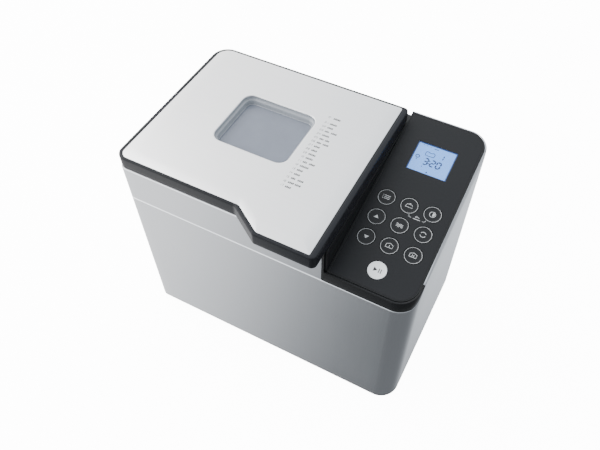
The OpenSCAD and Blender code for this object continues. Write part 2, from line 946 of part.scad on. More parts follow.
module motor_mount() {
  reach = motor_d / 2 + mount_over;
  color(STEEL)
    difference() {
      union() {
        translate([mx - reach, my - reach, z_motor - mount_t]) cube([2 * reach, 2 * reach, mount_t - 0.05]);
        for (i = [-1, 1]) for (j = [-1, 1])
          translate([mx + i * (reach - 4), my + j * (reach - 4), base_z + base_t])
            cylinder(h = z_motor - mount_t - base_z - base_t + 1, r = mount_leg_r);
      }
      translate([mx, my, 0]) cylinder(h = far, r = 11.1);
    }
}

module run_capacitor() {
  color(CREAM)
    translate([mx - 22, my + motor_d / 2 + mount_over + 18, base_z + base_t]) cylinder(h = 58, r = 16);
}

module power_board() {
  x0 = mx - 2;
  y0 = my + motor_d / 2 + 10;
  z0 = base_z + base_t + 8;
  board_w = 48;
  board_l = min(70, y_back - wall - 16 - y0);
  color(GREEN)
    union() {
      translate([x0, y0, z0]) cube([board_w, board_l, board_t]);
      translate([x0 + 5, y0 + 5, z0 + board_t - eps]) cube([32, 28, 26]);
      translate([x0 + 8, y0 + 38, z0 + board_t - eps]) cube([14, 18, 14]);
      for (i = [6, board_w - 6]) for (j = [6, board_l - 6])
        translate([x0 + i, y0 + j, base_z + base_t]) cylinder(h = 8 + eps, r = 3);
    }
}

// Bread pan

module pan_box(w, d, r, z, h) {
  translate([cx, cy, 0]) slab(centred(w, d, r), z, h);
}

module bread_pan() {
  color(DARK)
    difference() {
      union() {
        pan_box(pan_w, pan_d, pan_r, z_pan, pan_h);
        pan_box(pan_w + 2 * pan_lip, pan_d + 2 * pan_lip, pan_r + pan_lip, z_rim - pan_t, pan_t);
        for (i = [-1, 1])
          translate([cx, cy, z_bail])
            mirror([i < 0 ? 1 : 0, 0, 0]) {
              translate([ear_x, -14, -bail_r - 2]) cube([ear_t, 21, z_rim - z_bail + bail_r + 2 - eps]);
              translate([ear_x, -14, -bail_r - 2]) cube([bail_x + bail_r - ear_x, 6, 1.7]);
            }
      }
      pan_box(pan_w - 2 * pan_t, pan_d - 2 * pan_t, pan_r - pan_t, z_pan + pan_t, far);
      translate([cx, cy, 0]) cylinder(h = far, r = shaft_r + 5);
      bar_x(cx - far / 4, cx - pan_w / 2 - 1, cy, z_bail, bail_r + run);
      bar_x(cx + pan_w / 2 + 1, cx + far / 4, cy, z_bail, bail_r + run);
    }
}

module pan_base_ring() {
  color(GREY)
    translate([cx, cy, z_floor])
      difference() {
        cylinder(h = pan_ring_h + 0.5, r = pan_ring_d / 2);
        translate([0, 0, -1]) cylinder(h = far / 4, r = pan_ring_d / 2 - 2.5);
      }
}

module pan_bushing() {
  color(COPPER)
    translate([cx, cy, z_pan])
      difference() {
        union() {
          translate([0, 0, -1]) cylinder(h = 12, r = shaft_r + 5);
          translate([0, 0, pan_t]) cylinder(h = 2, r = shaft_r + 10);
        }
        translate([0, 0, -5]) cylinder(h = 30, r = shaft_r + run);
      }
}

paddle_z = z_pan + 12;
paddle_h = 26;

module pan_shaft() {
  z0 = z_coupler + coupler_t + 0.5;
  color(STEEL)
    translate([cx, cy, z0]) {
      cylinder(h = dog_h + eps, r = 2.5);
      translate([0, 0, dog_h]) cylinder(h = paddle_z + paddle_h - 4 - z0 - dog_h, r = shaft_r);
    }
}

// A hub with one swept blade that is low at its tip
module kneading_paddle() {
  color(DARK)
    translate([cx, cy, paddle_z])
      difference() {
        union() {
          cylinder(h = paddle_h, r = shaft_r + 4);
          intersection() {
            linear_extrude(paddle_h)
              polygon(outline([
                [0, -6, 0],
                [paddle_reach * 0.55, -4, 20],
                [paddle_reach, 6, 2],
                [paddle_reach - 2, 10, 2],
                [paddle_reach * 0.5, 2, 20],
                [0, 6, 0]
              ]));
            translate([0, 20, 0])
              rotate([90, 0, 0])
                linear_extrude(40)
                  polygon([
                    [-5, 0],
                    [paddle_reach + 1, 0],
                    [paddle_reach + 1, 8],
                    [14, paddle_h],
                    [-5, paddle_h]
                  ]);
          }
        }
        translate([0, 0, -1]) cylinder(h = paddle_h - 3, r = shaft_r);
      }
}

// The bail lies folded towards the front, round the outside of the pan's lip
module pan_handle() {
  color(STEEL)
    union() {
      for (i = [-1, 1])
        translate([cx, 0, 0])
          mirror([i < 0 ? 1 : 0, 0, 0]) {
            bar_x(pan_w / 2 + 1.2, bail_x, cy, z_bail, bail_r);
            translate([bail_x, cy, z_bail]) sphere(r = bail_r);
            bar_y(bail_x, cy - bail_y + bail_bend, cy, z_bail, bail_r);
            bend(bail_x - bail_bend, cy - bail_y + bail_bend, z_bail, 270, bail_bend, bail_r);
          }
      bar_x(cx - bail_x + bail_bend, cx + bail_x - bail_bend, cy - bail_y, z_bail, bail_r);
    }
}

// Lid

module lid_rim() {
  color(BLACK)
    difference() {
      union() {
        translate([0, 0, z_lid])
          linear_extrude(lid_t)
            lid_shape();
        for (x = hinge_x) lid_knuckle(x);
      }
      translate([0, 0, z_lid - 1])
        linear_extrude(flange_z + flange_t - z_lid + 1)
          lid_shape([rebate_in, rebate_in, rebate_in, rebate_in, rebate_in + lip]);
      translate([0, 0, z_lid - 1])
        linear_extrude(far)
          lid_shape([rim_in, rim_in, rim_in, rim_in, rim_in + lip]);
      translate([0, 0, z_top - plate_t - 0.2])
        linear_extrude(far)
          lid_shape(plate_in, 14);
      for (x = hinge_x) bar_x(x - far / 8, x + far / 8, y_hinge, z_hinge, pin_d / 2 + run);
      for (p = lid_screw_places)
        translate([p[0], p[1], z_lid - 1]) cylinder(h = 11, r = 1.5);
    }
}

lid_screw_places = [
  for (x = [x_left + 10, (x_left + x_lid) / 2 - 30, x_lid - 10]) for (y = [y_front + 10, y_lid - 10]) [x, y]
];

module lid_knuckle(x) {
  side_prism(x - knuckle_l / 2, x + knuckle_l / 2, [
    [y_lid - 3, z_hinge - 1.5],
    [y_lid - 3, z_lid + 5],
    [y_lid + 0.1, z_lid + 5],
    [y_hinge - 2, z_hinge + 4],
    [y_hinge, z_hinge + 4],
    [y_hinge, z_hinge - 3]
  ]);
  bar_x(x - knuckle_l / 2, x + knuckle_l / 2, y_hinge, z_hinge, knuckle_r);
}

module lid_top_plate() {
  color(STEEL)
    translate([0, 0, z_top - plate_t])
      linear_extrude(plate_t)
        difference() {
          lid_shape([for (v = plate_in) v + 0.15], 14);
          translate([window_x, window_y]) polygon(centred(window_w, window_d, window_r));
        }
}

// A stepped well: wide above the outer pane, narrower between the two panes
module window_frame() {
  z0 = z_inner_pane + pane_t + 0.1;
  step = 6;
  color(GREY)
    translate([window_x, window_y, 0])
      difference() {
        union() {
          slab(centred(window_w + 6, window_d + 6, window_r + 3), z_pane, z_top - plate_t - 0.1 - z_pane);
          slab(centred(sight_w + 8, sight_d + 8, window_r - 2), z0, z_pane - z0 + eps);
        }
        slab(centred(window_w, window_d, window_r), z_pane - eps, far);
        slab(centred(sight_w, sight_d, window_r - step), 0, far);
      }
}

module window_outer_pane() {
  color(GLASS, 0.5)
    translate([window_x, window_y, 0])
      slab(centred(window_w - 0.2, window_d - 0.2, window_r - 0.1), z_pane, pane_t);
}

module window_inner_pane() {
  color(GLASS, 0.5)
    translate([window_x, window_y, 0])
      slab(centred(sight_w + 8, sight_d + 8, window_r - 2), z_inner_pane, pane_t);
}

// Points of the plug that hangs into the chamber's mouth
function plug_points(grow = 0) =
  box_outline(cx - chamber_w / 2 + plug_gap - grow, cx + chamber_w / 2 - plug_gap + grow,
    cy - chamber_d / 2 + plug_gap - grow, cy + chamber_d / 2 - plug_gap + grow,
    chamber_r - plug_gap + grow, chamber_r - plug_gap + grow);

module lid_inner_cover() {
  z0 = flange_z - plug_drop;
  color(STEEL)
    difference() {
      union() {
        slab(plug_points(), z0, plug_drop + flange_t);
        translate([0, 0, flange_z])
          linear_extrude(flange_t - 0.05)
            lid_shape([for (i = [0:4]) rebate_in + 0.3 + (i == 4 ? lip : 0)]);
      }
      slab(plug_points(-1), z0 + flange_t, far);
      translate([window_x, window_y, 0]) slab(centred(sight_w, sight_d, window_r - 6), 0, far);
      for (p = lid_screw_places) translate([p[0], p[1], 0]) cylinder(h = far, r = 1.7);
    }
}

module lid_seal() {
  color(RUBBER) ring(plug_points(12), plug_points(6), z_deck, flange_z - z_deck);
}

module lid_screws() {
  color(STEEL)
    for (p = lid_screw_places)
      translate([p[0], p[1], 0]) {
        translate([0, 0, flange_z - 1.2]) cylinder(h = 1.2, r = 2.8);
        translate([0, 0, flange_z - 1]) cylinder(h = 9, r = 1.5);
      }
}

housing_wrap();
upper_band();
side_vent();
deck_frame();
base_plate();
feet();
base_screws();
cord_gland();
panel_housing();
front_fascia();
panel_overlay();
lcd_lens();
lcd_module();
control_board();
tact_switches();
chamber_liner();
chamber_supports();
heating_element();
element_insulators();
temperature_sensor();
pan_clips();
bearing_housing();
shaft_bushes();
drive_belt();
motor_housing();
motor_mount();
run_capacitor();
power_board();
hinge_pins();
lid_rim();
lid_top_plate();
window_frame();
window_outer_pane();
window_inner_pane();
lid_inner_cover();
lid_seal();
lid_screws();
drive_shaft();
large_pulley();
drive_coupler();
motor_shaft();
motor_pulley();
bread_pan();
pan_base_ring();
pan_bushing();
pan_shaft();
pan_coupler();
kneading_paddle();
pan_handle();
key_a1();
key_a2();
key_a3();
key_b1();
key_b2();
key_b3();
key_c1();
key_c2();
key_c3();
key_start();
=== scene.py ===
"""Countertop bread machine: the visible shells, lid, window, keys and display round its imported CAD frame."""

import json
import math

import bmesh
import bpy
import numpy as np
from bpy.props import FloatProperty, FloatVectorProperty, IntProperty, PointerProperty
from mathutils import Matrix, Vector


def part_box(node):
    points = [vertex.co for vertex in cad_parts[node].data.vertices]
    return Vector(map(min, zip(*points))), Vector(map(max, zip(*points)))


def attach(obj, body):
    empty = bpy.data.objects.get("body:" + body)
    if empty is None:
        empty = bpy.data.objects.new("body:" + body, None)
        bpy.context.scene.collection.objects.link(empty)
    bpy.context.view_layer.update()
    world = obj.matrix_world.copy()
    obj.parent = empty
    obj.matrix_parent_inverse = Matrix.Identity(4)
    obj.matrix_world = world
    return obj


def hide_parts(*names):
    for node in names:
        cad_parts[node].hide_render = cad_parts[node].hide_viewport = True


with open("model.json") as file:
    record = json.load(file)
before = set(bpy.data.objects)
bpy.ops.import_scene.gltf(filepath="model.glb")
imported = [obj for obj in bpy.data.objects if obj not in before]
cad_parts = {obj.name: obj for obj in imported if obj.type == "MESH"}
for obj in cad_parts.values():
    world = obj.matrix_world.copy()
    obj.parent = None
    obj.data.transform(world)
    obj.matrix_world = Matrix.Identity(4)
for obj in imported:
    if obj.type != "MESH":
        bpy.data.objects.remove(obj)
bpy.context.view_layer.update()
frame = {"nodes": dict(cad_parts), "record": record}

bl_info = {
    "name": "Bread machine",
    "version": (1, 0, 0),
    "blender": (4, 5, 0),
    "location": "View3D > Sidebar > Bread machine",
    "description": "Builds the looks of a countertop bread machine on its CAD frame",
    "category": "Object",
}

MM = 0.001

# ---------------------------------------------------------------------------------------------------------
# Places taken from the CAD frame, in metres
# ---------------------------------------------------------------------------------------------------------


def places():
    """Reads the frame's boxes into one dictionary of named levels and edges."""
    wrap_lo, wrap_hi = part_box("housing_wrap")
    band_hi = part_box("upper_band")[1]
    plate_lo, plate_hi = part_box("lid_top_plate")
    rim_lo, rim_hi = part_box("lid_rim")
    over_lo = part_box("panel_overlay")[0]
    pane_lo, pane_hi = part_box("window_outer_pane")
    fascia_lo, fascia_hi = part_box("front_fascia")
    lens_lo, lens_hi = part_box("lcd_lens")
    seam = 0.4 * MM
    tilt = math.radians(10.0)
    front_z = fascia_hi.z - (fascia_hi.y - wrap_lo.y) * math.tan(tilt)
    return {
        "left": wrap_lo.x, "right": wrap_hi.x, "front": wrap_lo.y, "back": wrap_hi.y, "low": wrap_lo.z,
        "split": band_hi.x, "part": fascia_lo.z - seam, "deck": band_hi.z, "seam": seam,
        "lid_right": rim_hi.x, "lip_front": rim_lo.y, "top": rim_hi.z, "lid_low": band_hi.z + 0.6 * MM,
        "lid_back": plate_hi.y + 3.55 * MM, "plate_left": plate_lo.x, "plate_right": plate_hi.x,
        "plate_back": plate_hi.y, "plate_lip": plate_lo.y, "plate_top": plate_hi.z,
        "plate_front": wrap_lo.y + 2.55 * MM, "fascia_end": fascia_hi.y + seam,
        "pane_lo": pane_lo, "pane_hi": pane_hi, "fascia_back": fascia_hi.y, "fascia_left": fascia_lo.x,
        "tilt": tilt, "panel_front_z": front_z, "panel_left": over_lo.x,
        "ledge_right": over_lo.x - 2 * MM, "lens_lo": lens_lo, "lens_hi": lens_hi,
    }


AT = places()


def panel_height(y):
    """Height of the sloping panel above a distance y: front height plus run times the tangent of the tilt."""
    return AT["panel_front_z"] + (y - AT["front"]) * math.tan(AT["tilt"])


# ---------------------------------------------------------------------------------------------------------
# Outlines and grids
# ---------------------------------------------------------------------------------------------------------


def corner_arc(before, corner, after, radius, count):
    """A rounded corner: centre + radius * (cos a, sin a), a running evenly between the two tangent points."""
    corner = np.asarray(corner, float)
    u = np.asarray(before, float) - corner
    v = np.asarray(after, float) - corner
    u, v = u / np.linalg.norm(u), v / np.linalg.norm(v)
    half = math.acos(max(-1.0, min(1.0, float(u @ v)))) / 2
    middle = corner + (u + v) / np.linalg.norm(u + v) * radius / math.sin(half)
    start = corner + u * radius / math.tan(half) - middle
    end = corner + v * radius / math.tan(half) - middle
    first = math.atan2(start[1], start[0])
    turn = (math.atan2(end[1], end[0]) - first + 3 * math.pi) % (2 * math.pi) - math.pi
    angle = first + turn * np.linspace(0, 1, count)
    outward = np.stack([np.cos(angle), np.sin(angle)], 1) * (1 if turn > 0 else -1)
    return middle + np.stack([np.cos(angle), np.sin(angle)], 1) * radius, outward


def outline(corners, count=9, step=12 * MM, cuts=()):
    """Closed outline through corners (x, y, radius), anticlockwise, as points and outward normals.

    Each corner is an arc of count points. Each straight is split at an even step, and also at the cuts,
    which are (axis, value) pairs that a straight crosses.
    """
    points, normals = [], []
    total = len(corners)
    arcs = [
        corner_arc(corners[i - 1][:2], corners[i][:2], corners[(i + 1) % total][:2], corners[i][2], count)
        for i in range(total)
    ]
    for i in range(total):
        arc, normal = arcs[i]
        points.append(arc)
        normals.append(normal)
        p, q = arc[-1], arcs[(i + 1) % total][0][0]
        run = float(np.linalg.norm(q - p))
        parts = max(1, round(run / step))
        share = list(np.arange(1, parts) / parts)
        for axis, value in cuts:
            if abs(q[axis] - p[axis]) > 1e-6:
                t = (value - p[axis]) / (q[axis] - p[axis])
                if 0.001 < t < 0.999:
                    share.append(t)
        share = np.array(sorted(share))
        if len(share):
            along = (q - p) / run
            points.append(p + share[:, None] * (q - p))
            normals.append(np.repeat([[along[1], -along[0]]], len(share), 0))
    return np.concatenate(points), np.concatenate(normals)


def loft_faces(rows, columns, closed):
    """Quads of a grid of rows by columns; a closed grid joins its last column to its first."""
    last = columns if closed else columns - 1
    row = np.arange(rows - 1)[:, None] * columns
    a = np.arange(last)[None, :]
    b = (a + 1) % columns
    quads = np.stack([row + a, row + b, row + columns + b, row + columns + a], -1)
    return quads.reshape(-1, 4)


def build(name, points, faces, body, finish, replaces=(), smooth=True, slots=None, marks=None):
    """Puts points and faces into a mesh object that rides on a body, with its material or materials."""
    mesh = bpy.data.meshes.new(name)
    mesh.from_pydata(np.asarray(points, float).reshape(-1, 3).tolist(), [], [list(f) for f in faces])
    mesh.update()
    work = bmesh.new()
    work.from_mesh(mesh)
    if marks is None:
        bmesh.ops.remove_doubles(work, verts=work.verts, dist=1e-6)
    bmesh.ops.recalc_face_normals(work, faces=work.faces)
    work.to_mesh(mesh)
    work.free()
    piece = bpy.data.objects.new(name, mesh)
    bpy.context.scene.collection.objects.link(piece)
    for material in slots or [finish]:
        mesh.materials.append(material)
    if marks is not None:
        mesh.polygons.foreach_set("material_index", np.asarray(marks, np.int32))
    mesh.polygons.foreach_set("use_smooth", np.full(len(mesh.polygons), smooth))
    mesh.update()
    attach(piece, body)
    if replaces:
        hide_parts(*replaces)
    return piece


def shade_by_angle(piece, degrees):
    """Smooths faces that meet at less than an angle and keeps sharper edges crisp."""
    mesh = piece.data
    mesh.polygons.foreach_set("use_smooth", np.full(len(mesh.polygons), True))
    work = bmesh.new()
    work.from_mesh(mesh)
    limit = math.radians(degrees)
    for edge in work.edges:
        edge.smooth = len(edge.link_faces) == 2 and edge.calc_face_angle(0.0) < limit
    work.to_mesh(mesh)
    work.free()


def soften_edges(piece, width, degrees):
    """Adds a bevel to the sharp edges of a piece, in two segments that never overlap."""
    bevel = piece.modifiers.new("edges", "BEVEL")
    bevel.width = width
    bevel.segments = 2
    bevel.limit_method = "ANGLE"
    bevel.angle_limit = math.radians(degrees)
    bevel.use_clamp_overlap = True
    bevel.harden_normals = False


def ring_stack(stack):
    """Rows of a loft: each entry of the stack is (points, height) with the same number of points.

    Gives the points of all rows, the number of rows and the number of points in a row.
    """
    rows = []
    for points, height in stack:
        z = np.broadcast_to(np.asarray(height, float), (len(points),))
        rows.append(np.column_stack([points, z]))
    return np.concatenate(rows), len(stack), len(stack[0][0])


def inset_stack(points, normals, rows):
    """Stack of an outline: each row (d, h) moves the points in along their normals by d, at height h."""
    return ring_stack([(points - normals * np.reshape(d, (-1, 1)), h) for d, h in rows])


FLAT_ANGLE = math.radians(3.0)


def refined(node, body, finish, width, name=None):
    """A copy of a CAD node with its loose triangles joined, flat faces merged and its hard edges bevelled."""
    source = frame["nodes"][node]
    mesh = source.data.copy()
    work = bmesh.new()
    work.from_mesh(mesh)
    bmesh.ops.remove_doubles(work, verts=work.verts, dist=2e-6)
    bmesh.ops.dissolve_limit(
        work, angle_limit=FLAT_ANGLE, verts=work.verts, edges=work.edges, use_dissolve_boundaries=False
    )
    work.to_mesh(mesh)
    work.free()
    piece = bpy.data.objects.new(name or node + "_finished", mesh)
    bpy.context.scene.collection.objects.link(piece)
    mesh.materials.clear()
    mesh.materials.append(finish)
    shade_by_angle(piece, 30.0)
    if width:
        soften_edges(piece, width, 30.0)
    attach(piece, body)
    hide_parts(node)
    return piece


# ---------------------------------------------------------------------------------------------------------
# Shader maths
# ---------------------------------------------------------------------------------------------------------


class Signal:
    """A shader socket that answers Python arithmetic by adding Math nodes."""

    def __init__(self, finish, socket):
        self.finish = finish
        self.socket = socket

    def _math(self, operation, *values):
        return self.finish.node("ShaderNodeMath", {"operation": operation}, dict(enumerate(values)), 0)

    def __add__(self, other):
        return self._math("ADD", self, other)

    def __radd__(self, other):
        return self._math("ADD", other, self)

    def __sub__(self, other):
        return self._math("SUBTRACT", self, other)

    def __rsub__(self, other):
        return self._math("SUBTRACT", other, self)

    def __mul__(self, other):
        return self._math("MULTIPLY", self, other)

    def __rmul__(self, other):
        return self._math("MULTIPLY", other, self)

    def above(self, edge, softness):
        """0 below the edge, 1 above it, with a ramp of the given softness."""
        return self.finish.node(
            "ShaderNodeMapRange", {"interpolation_type": "SMOOTHSTEP"},
            {0: self, 1: edge - softness, 2: edge + softness, 3: 0.0, 4: 1.0}, 0,
        )


class Nodes:
    """A node tree and the one method that adds any node to it."""

    def __init__(self, tree):
        self.tree = tree

    def node(self, kind, settings, inputs, output=0):
        """Adds a node: its settings first, then a value or a link for each named socket."""
        node = self.tree.nodes.new(kind)
        for key, value in settings.items():
            setattr(node, key, value)
        for key, value in inputs.items():
            if isinstance(value, Signal):
                self.tree.links.new(value.socket, node.inputs[key])
            else:
                node.inputs[key].default_value = value
        return Signal(self, node.outputs[output])

    def mix(self, amount, first, second):
        """Colour between two colours or two signals."""
        return self.node("ShaderNodeMix", {"data_type": "RGBA"}, {0: amount, 6: first, 7: second}, 2)


class Finish(Nodes):
    """One material: its shader and the patterns that the finishes share."""

    def __init__(self, name):
        self.material = bpy.data.materials.new(name)
        self.material.use_nodes = True
        super().__init__(self.material.node_tree)
        self.tree.nodes.clear()
        self.shader = self.tree.nodes.new("ShaderNodeBsdfPrincipled")
        out = self.tree.nodes.new("ShaderNodeOutputMaterial")
        self.tree.links.new(self.shader.outputs[0], out.inputs[0])
        self.coords = self.node("ShaderNodeTexCoord", {}, {}, "Object")

    def set(self, **values):
        """Sets the shader's sockets, with _ for a space in each name."""
        for key, value in values.items():
            socket = self.shader.inputs[key.replace("_", " ")]
            if isinstance(value, Signal):
                self.tree.links.new(value.socket, socket)
            else:
                socket.default_value = value
        return self

    def stretched(self, scale, turn=(0.0, 0.0, 0.0)):
        """Object coordinates scaled differently along each axis, for grain and brushing."""
        return self.node("ShaderNodeMapping", {}, {"Vector": self.coords, "Scale": scale, "Rotation": turn})

    def noise(self, scale, detail=2.0, roughness=0.5, vector=None):
        """Soft random pattern between 0 and 1."""
        inputs = {"Vector": vector or self.coords, "Scale": scale, "Detail": detail, "Roughness": roughness}
        return self.node("ShaderNodeTexNoise", {}, inputs, 0)

    def cells(self, scale, output="Distance"):
        """Voronoi cells: distance to the cell's centre, or its random colour."""
        return self.node("ShaderNodeTexVoronoi", {}, {"Vector": self.coords, "Scale": scale}, output)

    def bump(self, height, strength, distance=0.2 * MM):
        """Normal from a height pattern."""
        return self.node("ShaderNodeBump", {}, {"Strength": strength, "Distance": distance, "Height": height})


def shade(colour, factor):
    """A colour made darker or lighter by a factor, with full alpha."""
    return tuple(min(1.0, c * factor) for c in tuple(colour)[:3]) + (1.0,)


FINISHES = {}


def satin_silver(name, colour, brush=(2600.0, 2600.0, 30.0), roughness=0.3):
    """Satin silver sheet: long fine brushing, cloudy handling marks and faint roughness drift."""
    f = Finish(name)
    grain = f.noise(1.0, 3.0, 0.6, f.stretched(brush))
    streak = f.noise(1.0, 2.0, 0.5, f.stretched(tuple(0.12 * b for b in brush)))
    cloud = f.noise(9.0, 3.0, 0.55)
    tone = grain * 0.45 + streak * 0.3 + cloud * 0.25
    f.set(
        Base_Color=f.mix(tone, shade(colour, 0.93), shade(colour, 1.06)),
        Metallic=1.0,
        Roughness=roughness + (tone - 0.5) * 0.12 + (cloud - 0.5) * 0.05,
        Normal=f.bump(grain, 0.05, 0.05 * MM),
    )
    return f.material


def moulded(name, colour, roughness=0.35, grain=900.0, depth=0.1, coat=0.0, drift=0.08, gloss=0.5):
    """Moulded plastic: fine spark-eroded grain, slow flow marks and a few rubbed patches."""
    f = Finish(name)
    fine = f.noise(grain, 2.0, 0.6)
    pits = f.cells(grain * 0.55)
    flow = f.noise(14.0, 3.0, 0.5)
    rubbed = f.noise(45.0, 4.0, 0.65).above(0.62, 0.08)
    f.set(
        Base_Color=f.mix(flow * 0.7 + fine * 0.3, shade(colour, 0.86), shade(colour, 1.14)),
        Roughness=roughness + (flow - 0.5) * drift + (fine - 0.5) * 0.06 - rubbed * 0.04,
        Normal=f.bump(fine * 0.6 + pits * 0.4, depth, 0.1 * MM),
        Coat_Weight=coat,
        Coat_Roughness=0.12,
        Specular_IOR_Level=gloss,
    )
    return f.material


def rubber(name, colour, roughness=0.7):
    """Soft rubber: dull, with dusty high spots and a tight grain."""
    f = Finish(name)
    grain = f.noise(1400.0, 2.0, 0.6)
    dust = f.noise(60.0, 4.0, 0.7).above(0.55, 0.15)
    f.set(
        Base_Color=f.mix(dust, shade(colour, 0.9), shade(colour, 2.0)),
        Roughness=roughness + (grain - 0.5) * 0.2,
        Normal=f.bump(grain, 0.2, 0.1 * MM),
    )
    return f.material


def cast_metal(name, colour, roughness=0.42):
    """Die-cast metal: sandy skin with darker hollows."""
    f = Finish(name)
    sand = f.noise(700.0, 4.0, 0.65)
    blotch = f.noise(35.0, 3.0, 0.6)
    f.set(
        Base_Color=f.mix(blotch * 0.6 + sand * 0.4, shade(colour, 0.72), shade(colour, 1.15)),
        Metallic=1.0,
        Roughness=roughness + (sand - 0.5) * 0.25,
        Normal=f.bump(sand, 0.25, 0.15 * MM),
    )
    return f.material


def turned_metal(name, colour, roughness=0.22):
    """Turned or ground metal: rings of fine tool marks across the axis."""
    f = Finish(name)
    rings = f.noise(1.0, 3.0, 0.6, f.stretched((60.0, 60.0, 2500.0)))
    smear = f.noise(25.0, 3.0, 0.6)
    f.set(
        Base_Color=f.mix(rings, shade(colour, 0.82), shade(colour, 1.1)),
        Metallic=1.0,
        Roughness=roughness + (rings - 0.5) * 0.14 + (smear - 0.5) * 0.1,
        Normal=f.bump(rings, 0.08, 0.05 * MM),
    )
    return f.material


def galvanised(name, colour):
    """Galvanised sheet: flat crystals, each with its own tone, and rolled streaks."""
    f = Finish(name)
    crystal = f.cells(110.0, "Color")
    grey = f.node("ShaderNodeRGBToBW", {}, {"Color": crystal}, 0)
    rolled = f.noise(1.0, 3.0, 0.6, f.stretched((900.0, 30.0, 900.0)))
    f.set(
        Base_Color=f.mix(grey * 0.7 + rolled * 0.3, shade(colour, 0.75), shade(colour, 1.12)),
        Metallic=1.0,
        Roughness=0.28 + grey * 0.16 + rolled * 0.05,
        Normal=f.bump(grey + rolled * 0.3, 0.04, 0.05 * MM),
    )
    return f.material


def coated(name, colour):
    """Non-stick coating: dark, slightly sparkling, with an orange-peel skin."""
    f = Finish(name)
    peel = f.noise(260.0, 2.0, 0.5)
    fleck = f.cells(900.0).above(0.28, 0.03)
    f.set(
        Base_Color=f.mix(1.0 - fleck, shade(colour, 1.0), shade(colour, 2.2)),
        Metallic=0.25,
        Roughness=0.4 + (peel - 0.5) * 0.2,
        Normal=f.bump(peel, 0.12, 0.15 * MM),
    )
    return f.material


def dull_tube(name, colour):
    """Heating tube: heat-darkened steel with brown and blue patches."""
    f = Finish(name)
    patch = f.noise(55.0, 3.0, 0.6)
    scale = f.noise(500.0, 4.0, 0.6)
    f.set(
        Base_Color=f.mix(patch, shade(colour, 0.6), (0.30, 0.24, 0.21, 1.0)),
        Metallic=0.8,
        Roughness=0.5 + (scale - 0.5) * 0.3,
        Normal=f.bump(scale, 0.2, 0.1 * MM),
    )
    return f.material


def clear_pane(name, colour, alpha=0.35, roughness=0.03):
    """Tinted glass pane: smooth, with faint wipe marks; what is behind it shows through its alpha."""
    f = Finish(name)
    wipe = f.noise(1.0, 3.0, 0.6, f.stretched((20.0, 160.0, 20.0), (0.0, 0.0, 0.5)))
    mist = f.noise(30.0, 3.0, 0.6)
    f.set(
        Base_Color=f.mix(mist, shade(colour, 0.9), shade(colour, 1.08)),
        Roughness=roughness + wipe * 0.05,
        Alpha=alpha + (mist - 0.5) * 0.06,
        IOR=1.5,
    )
    f.material.surface_render_method = "DITHERED"
    return f.material


def display_glow(name, colour, strength):
    """Backlit display: pale field with a cloudy brightness over a fine dot grid."""
    f = Finish(name)
    cloud = f.noise(22.0, 2.0, 0.5)
    dots = f.noise(1600.0, 1.0, 0.5)
    tone = cloud * 0.75 + dots * 0.25
    tint = f.mix(tone, shade(colour, 0.86), shade(colour, 1.12))
    f.set(Base_Color=tint, Emission_Color=tint, Emission_Strength=strength, Roughness=0.25 + dots * 0.1)
    return f.material


def ink(name, colour, roughness):
    """Screen-printed ink: nearly even, with slight mottling."""
    f = Finish(name)
    mottle = f.noise(500.0, 3.0, 0.6)
    tint = f.mix(mottle, shade(colour, 0.88), shade(colour, 1.08))
    f.set(Base_Color=tint, Roughness=roughness + (mottle - 0.5) * 0.15)
    return f.material


def board(name, colour):
    """Circuit board: solder mask with copper tracks just visible under it."""
    f = Finish(name)
    bricks = {"Vector": f.coords, "Scale": 90.0, "Mortar Size": 0.03}
    track = f.node("ShaderNodeTexBrick", {"offset": 0.5}, bricks, "Fac")
    mask = f.noise(300.0, 3.0, 0.6)
    f.set(
        Base_Color=f.mix(track, shade(colour, 0.8), shade(colour, 1.9)),
        Roughness=0.35 + mask * 0.15,
        Normal=f.bump(track, 0.1, 0.05 * MM),
    )
    return f.material


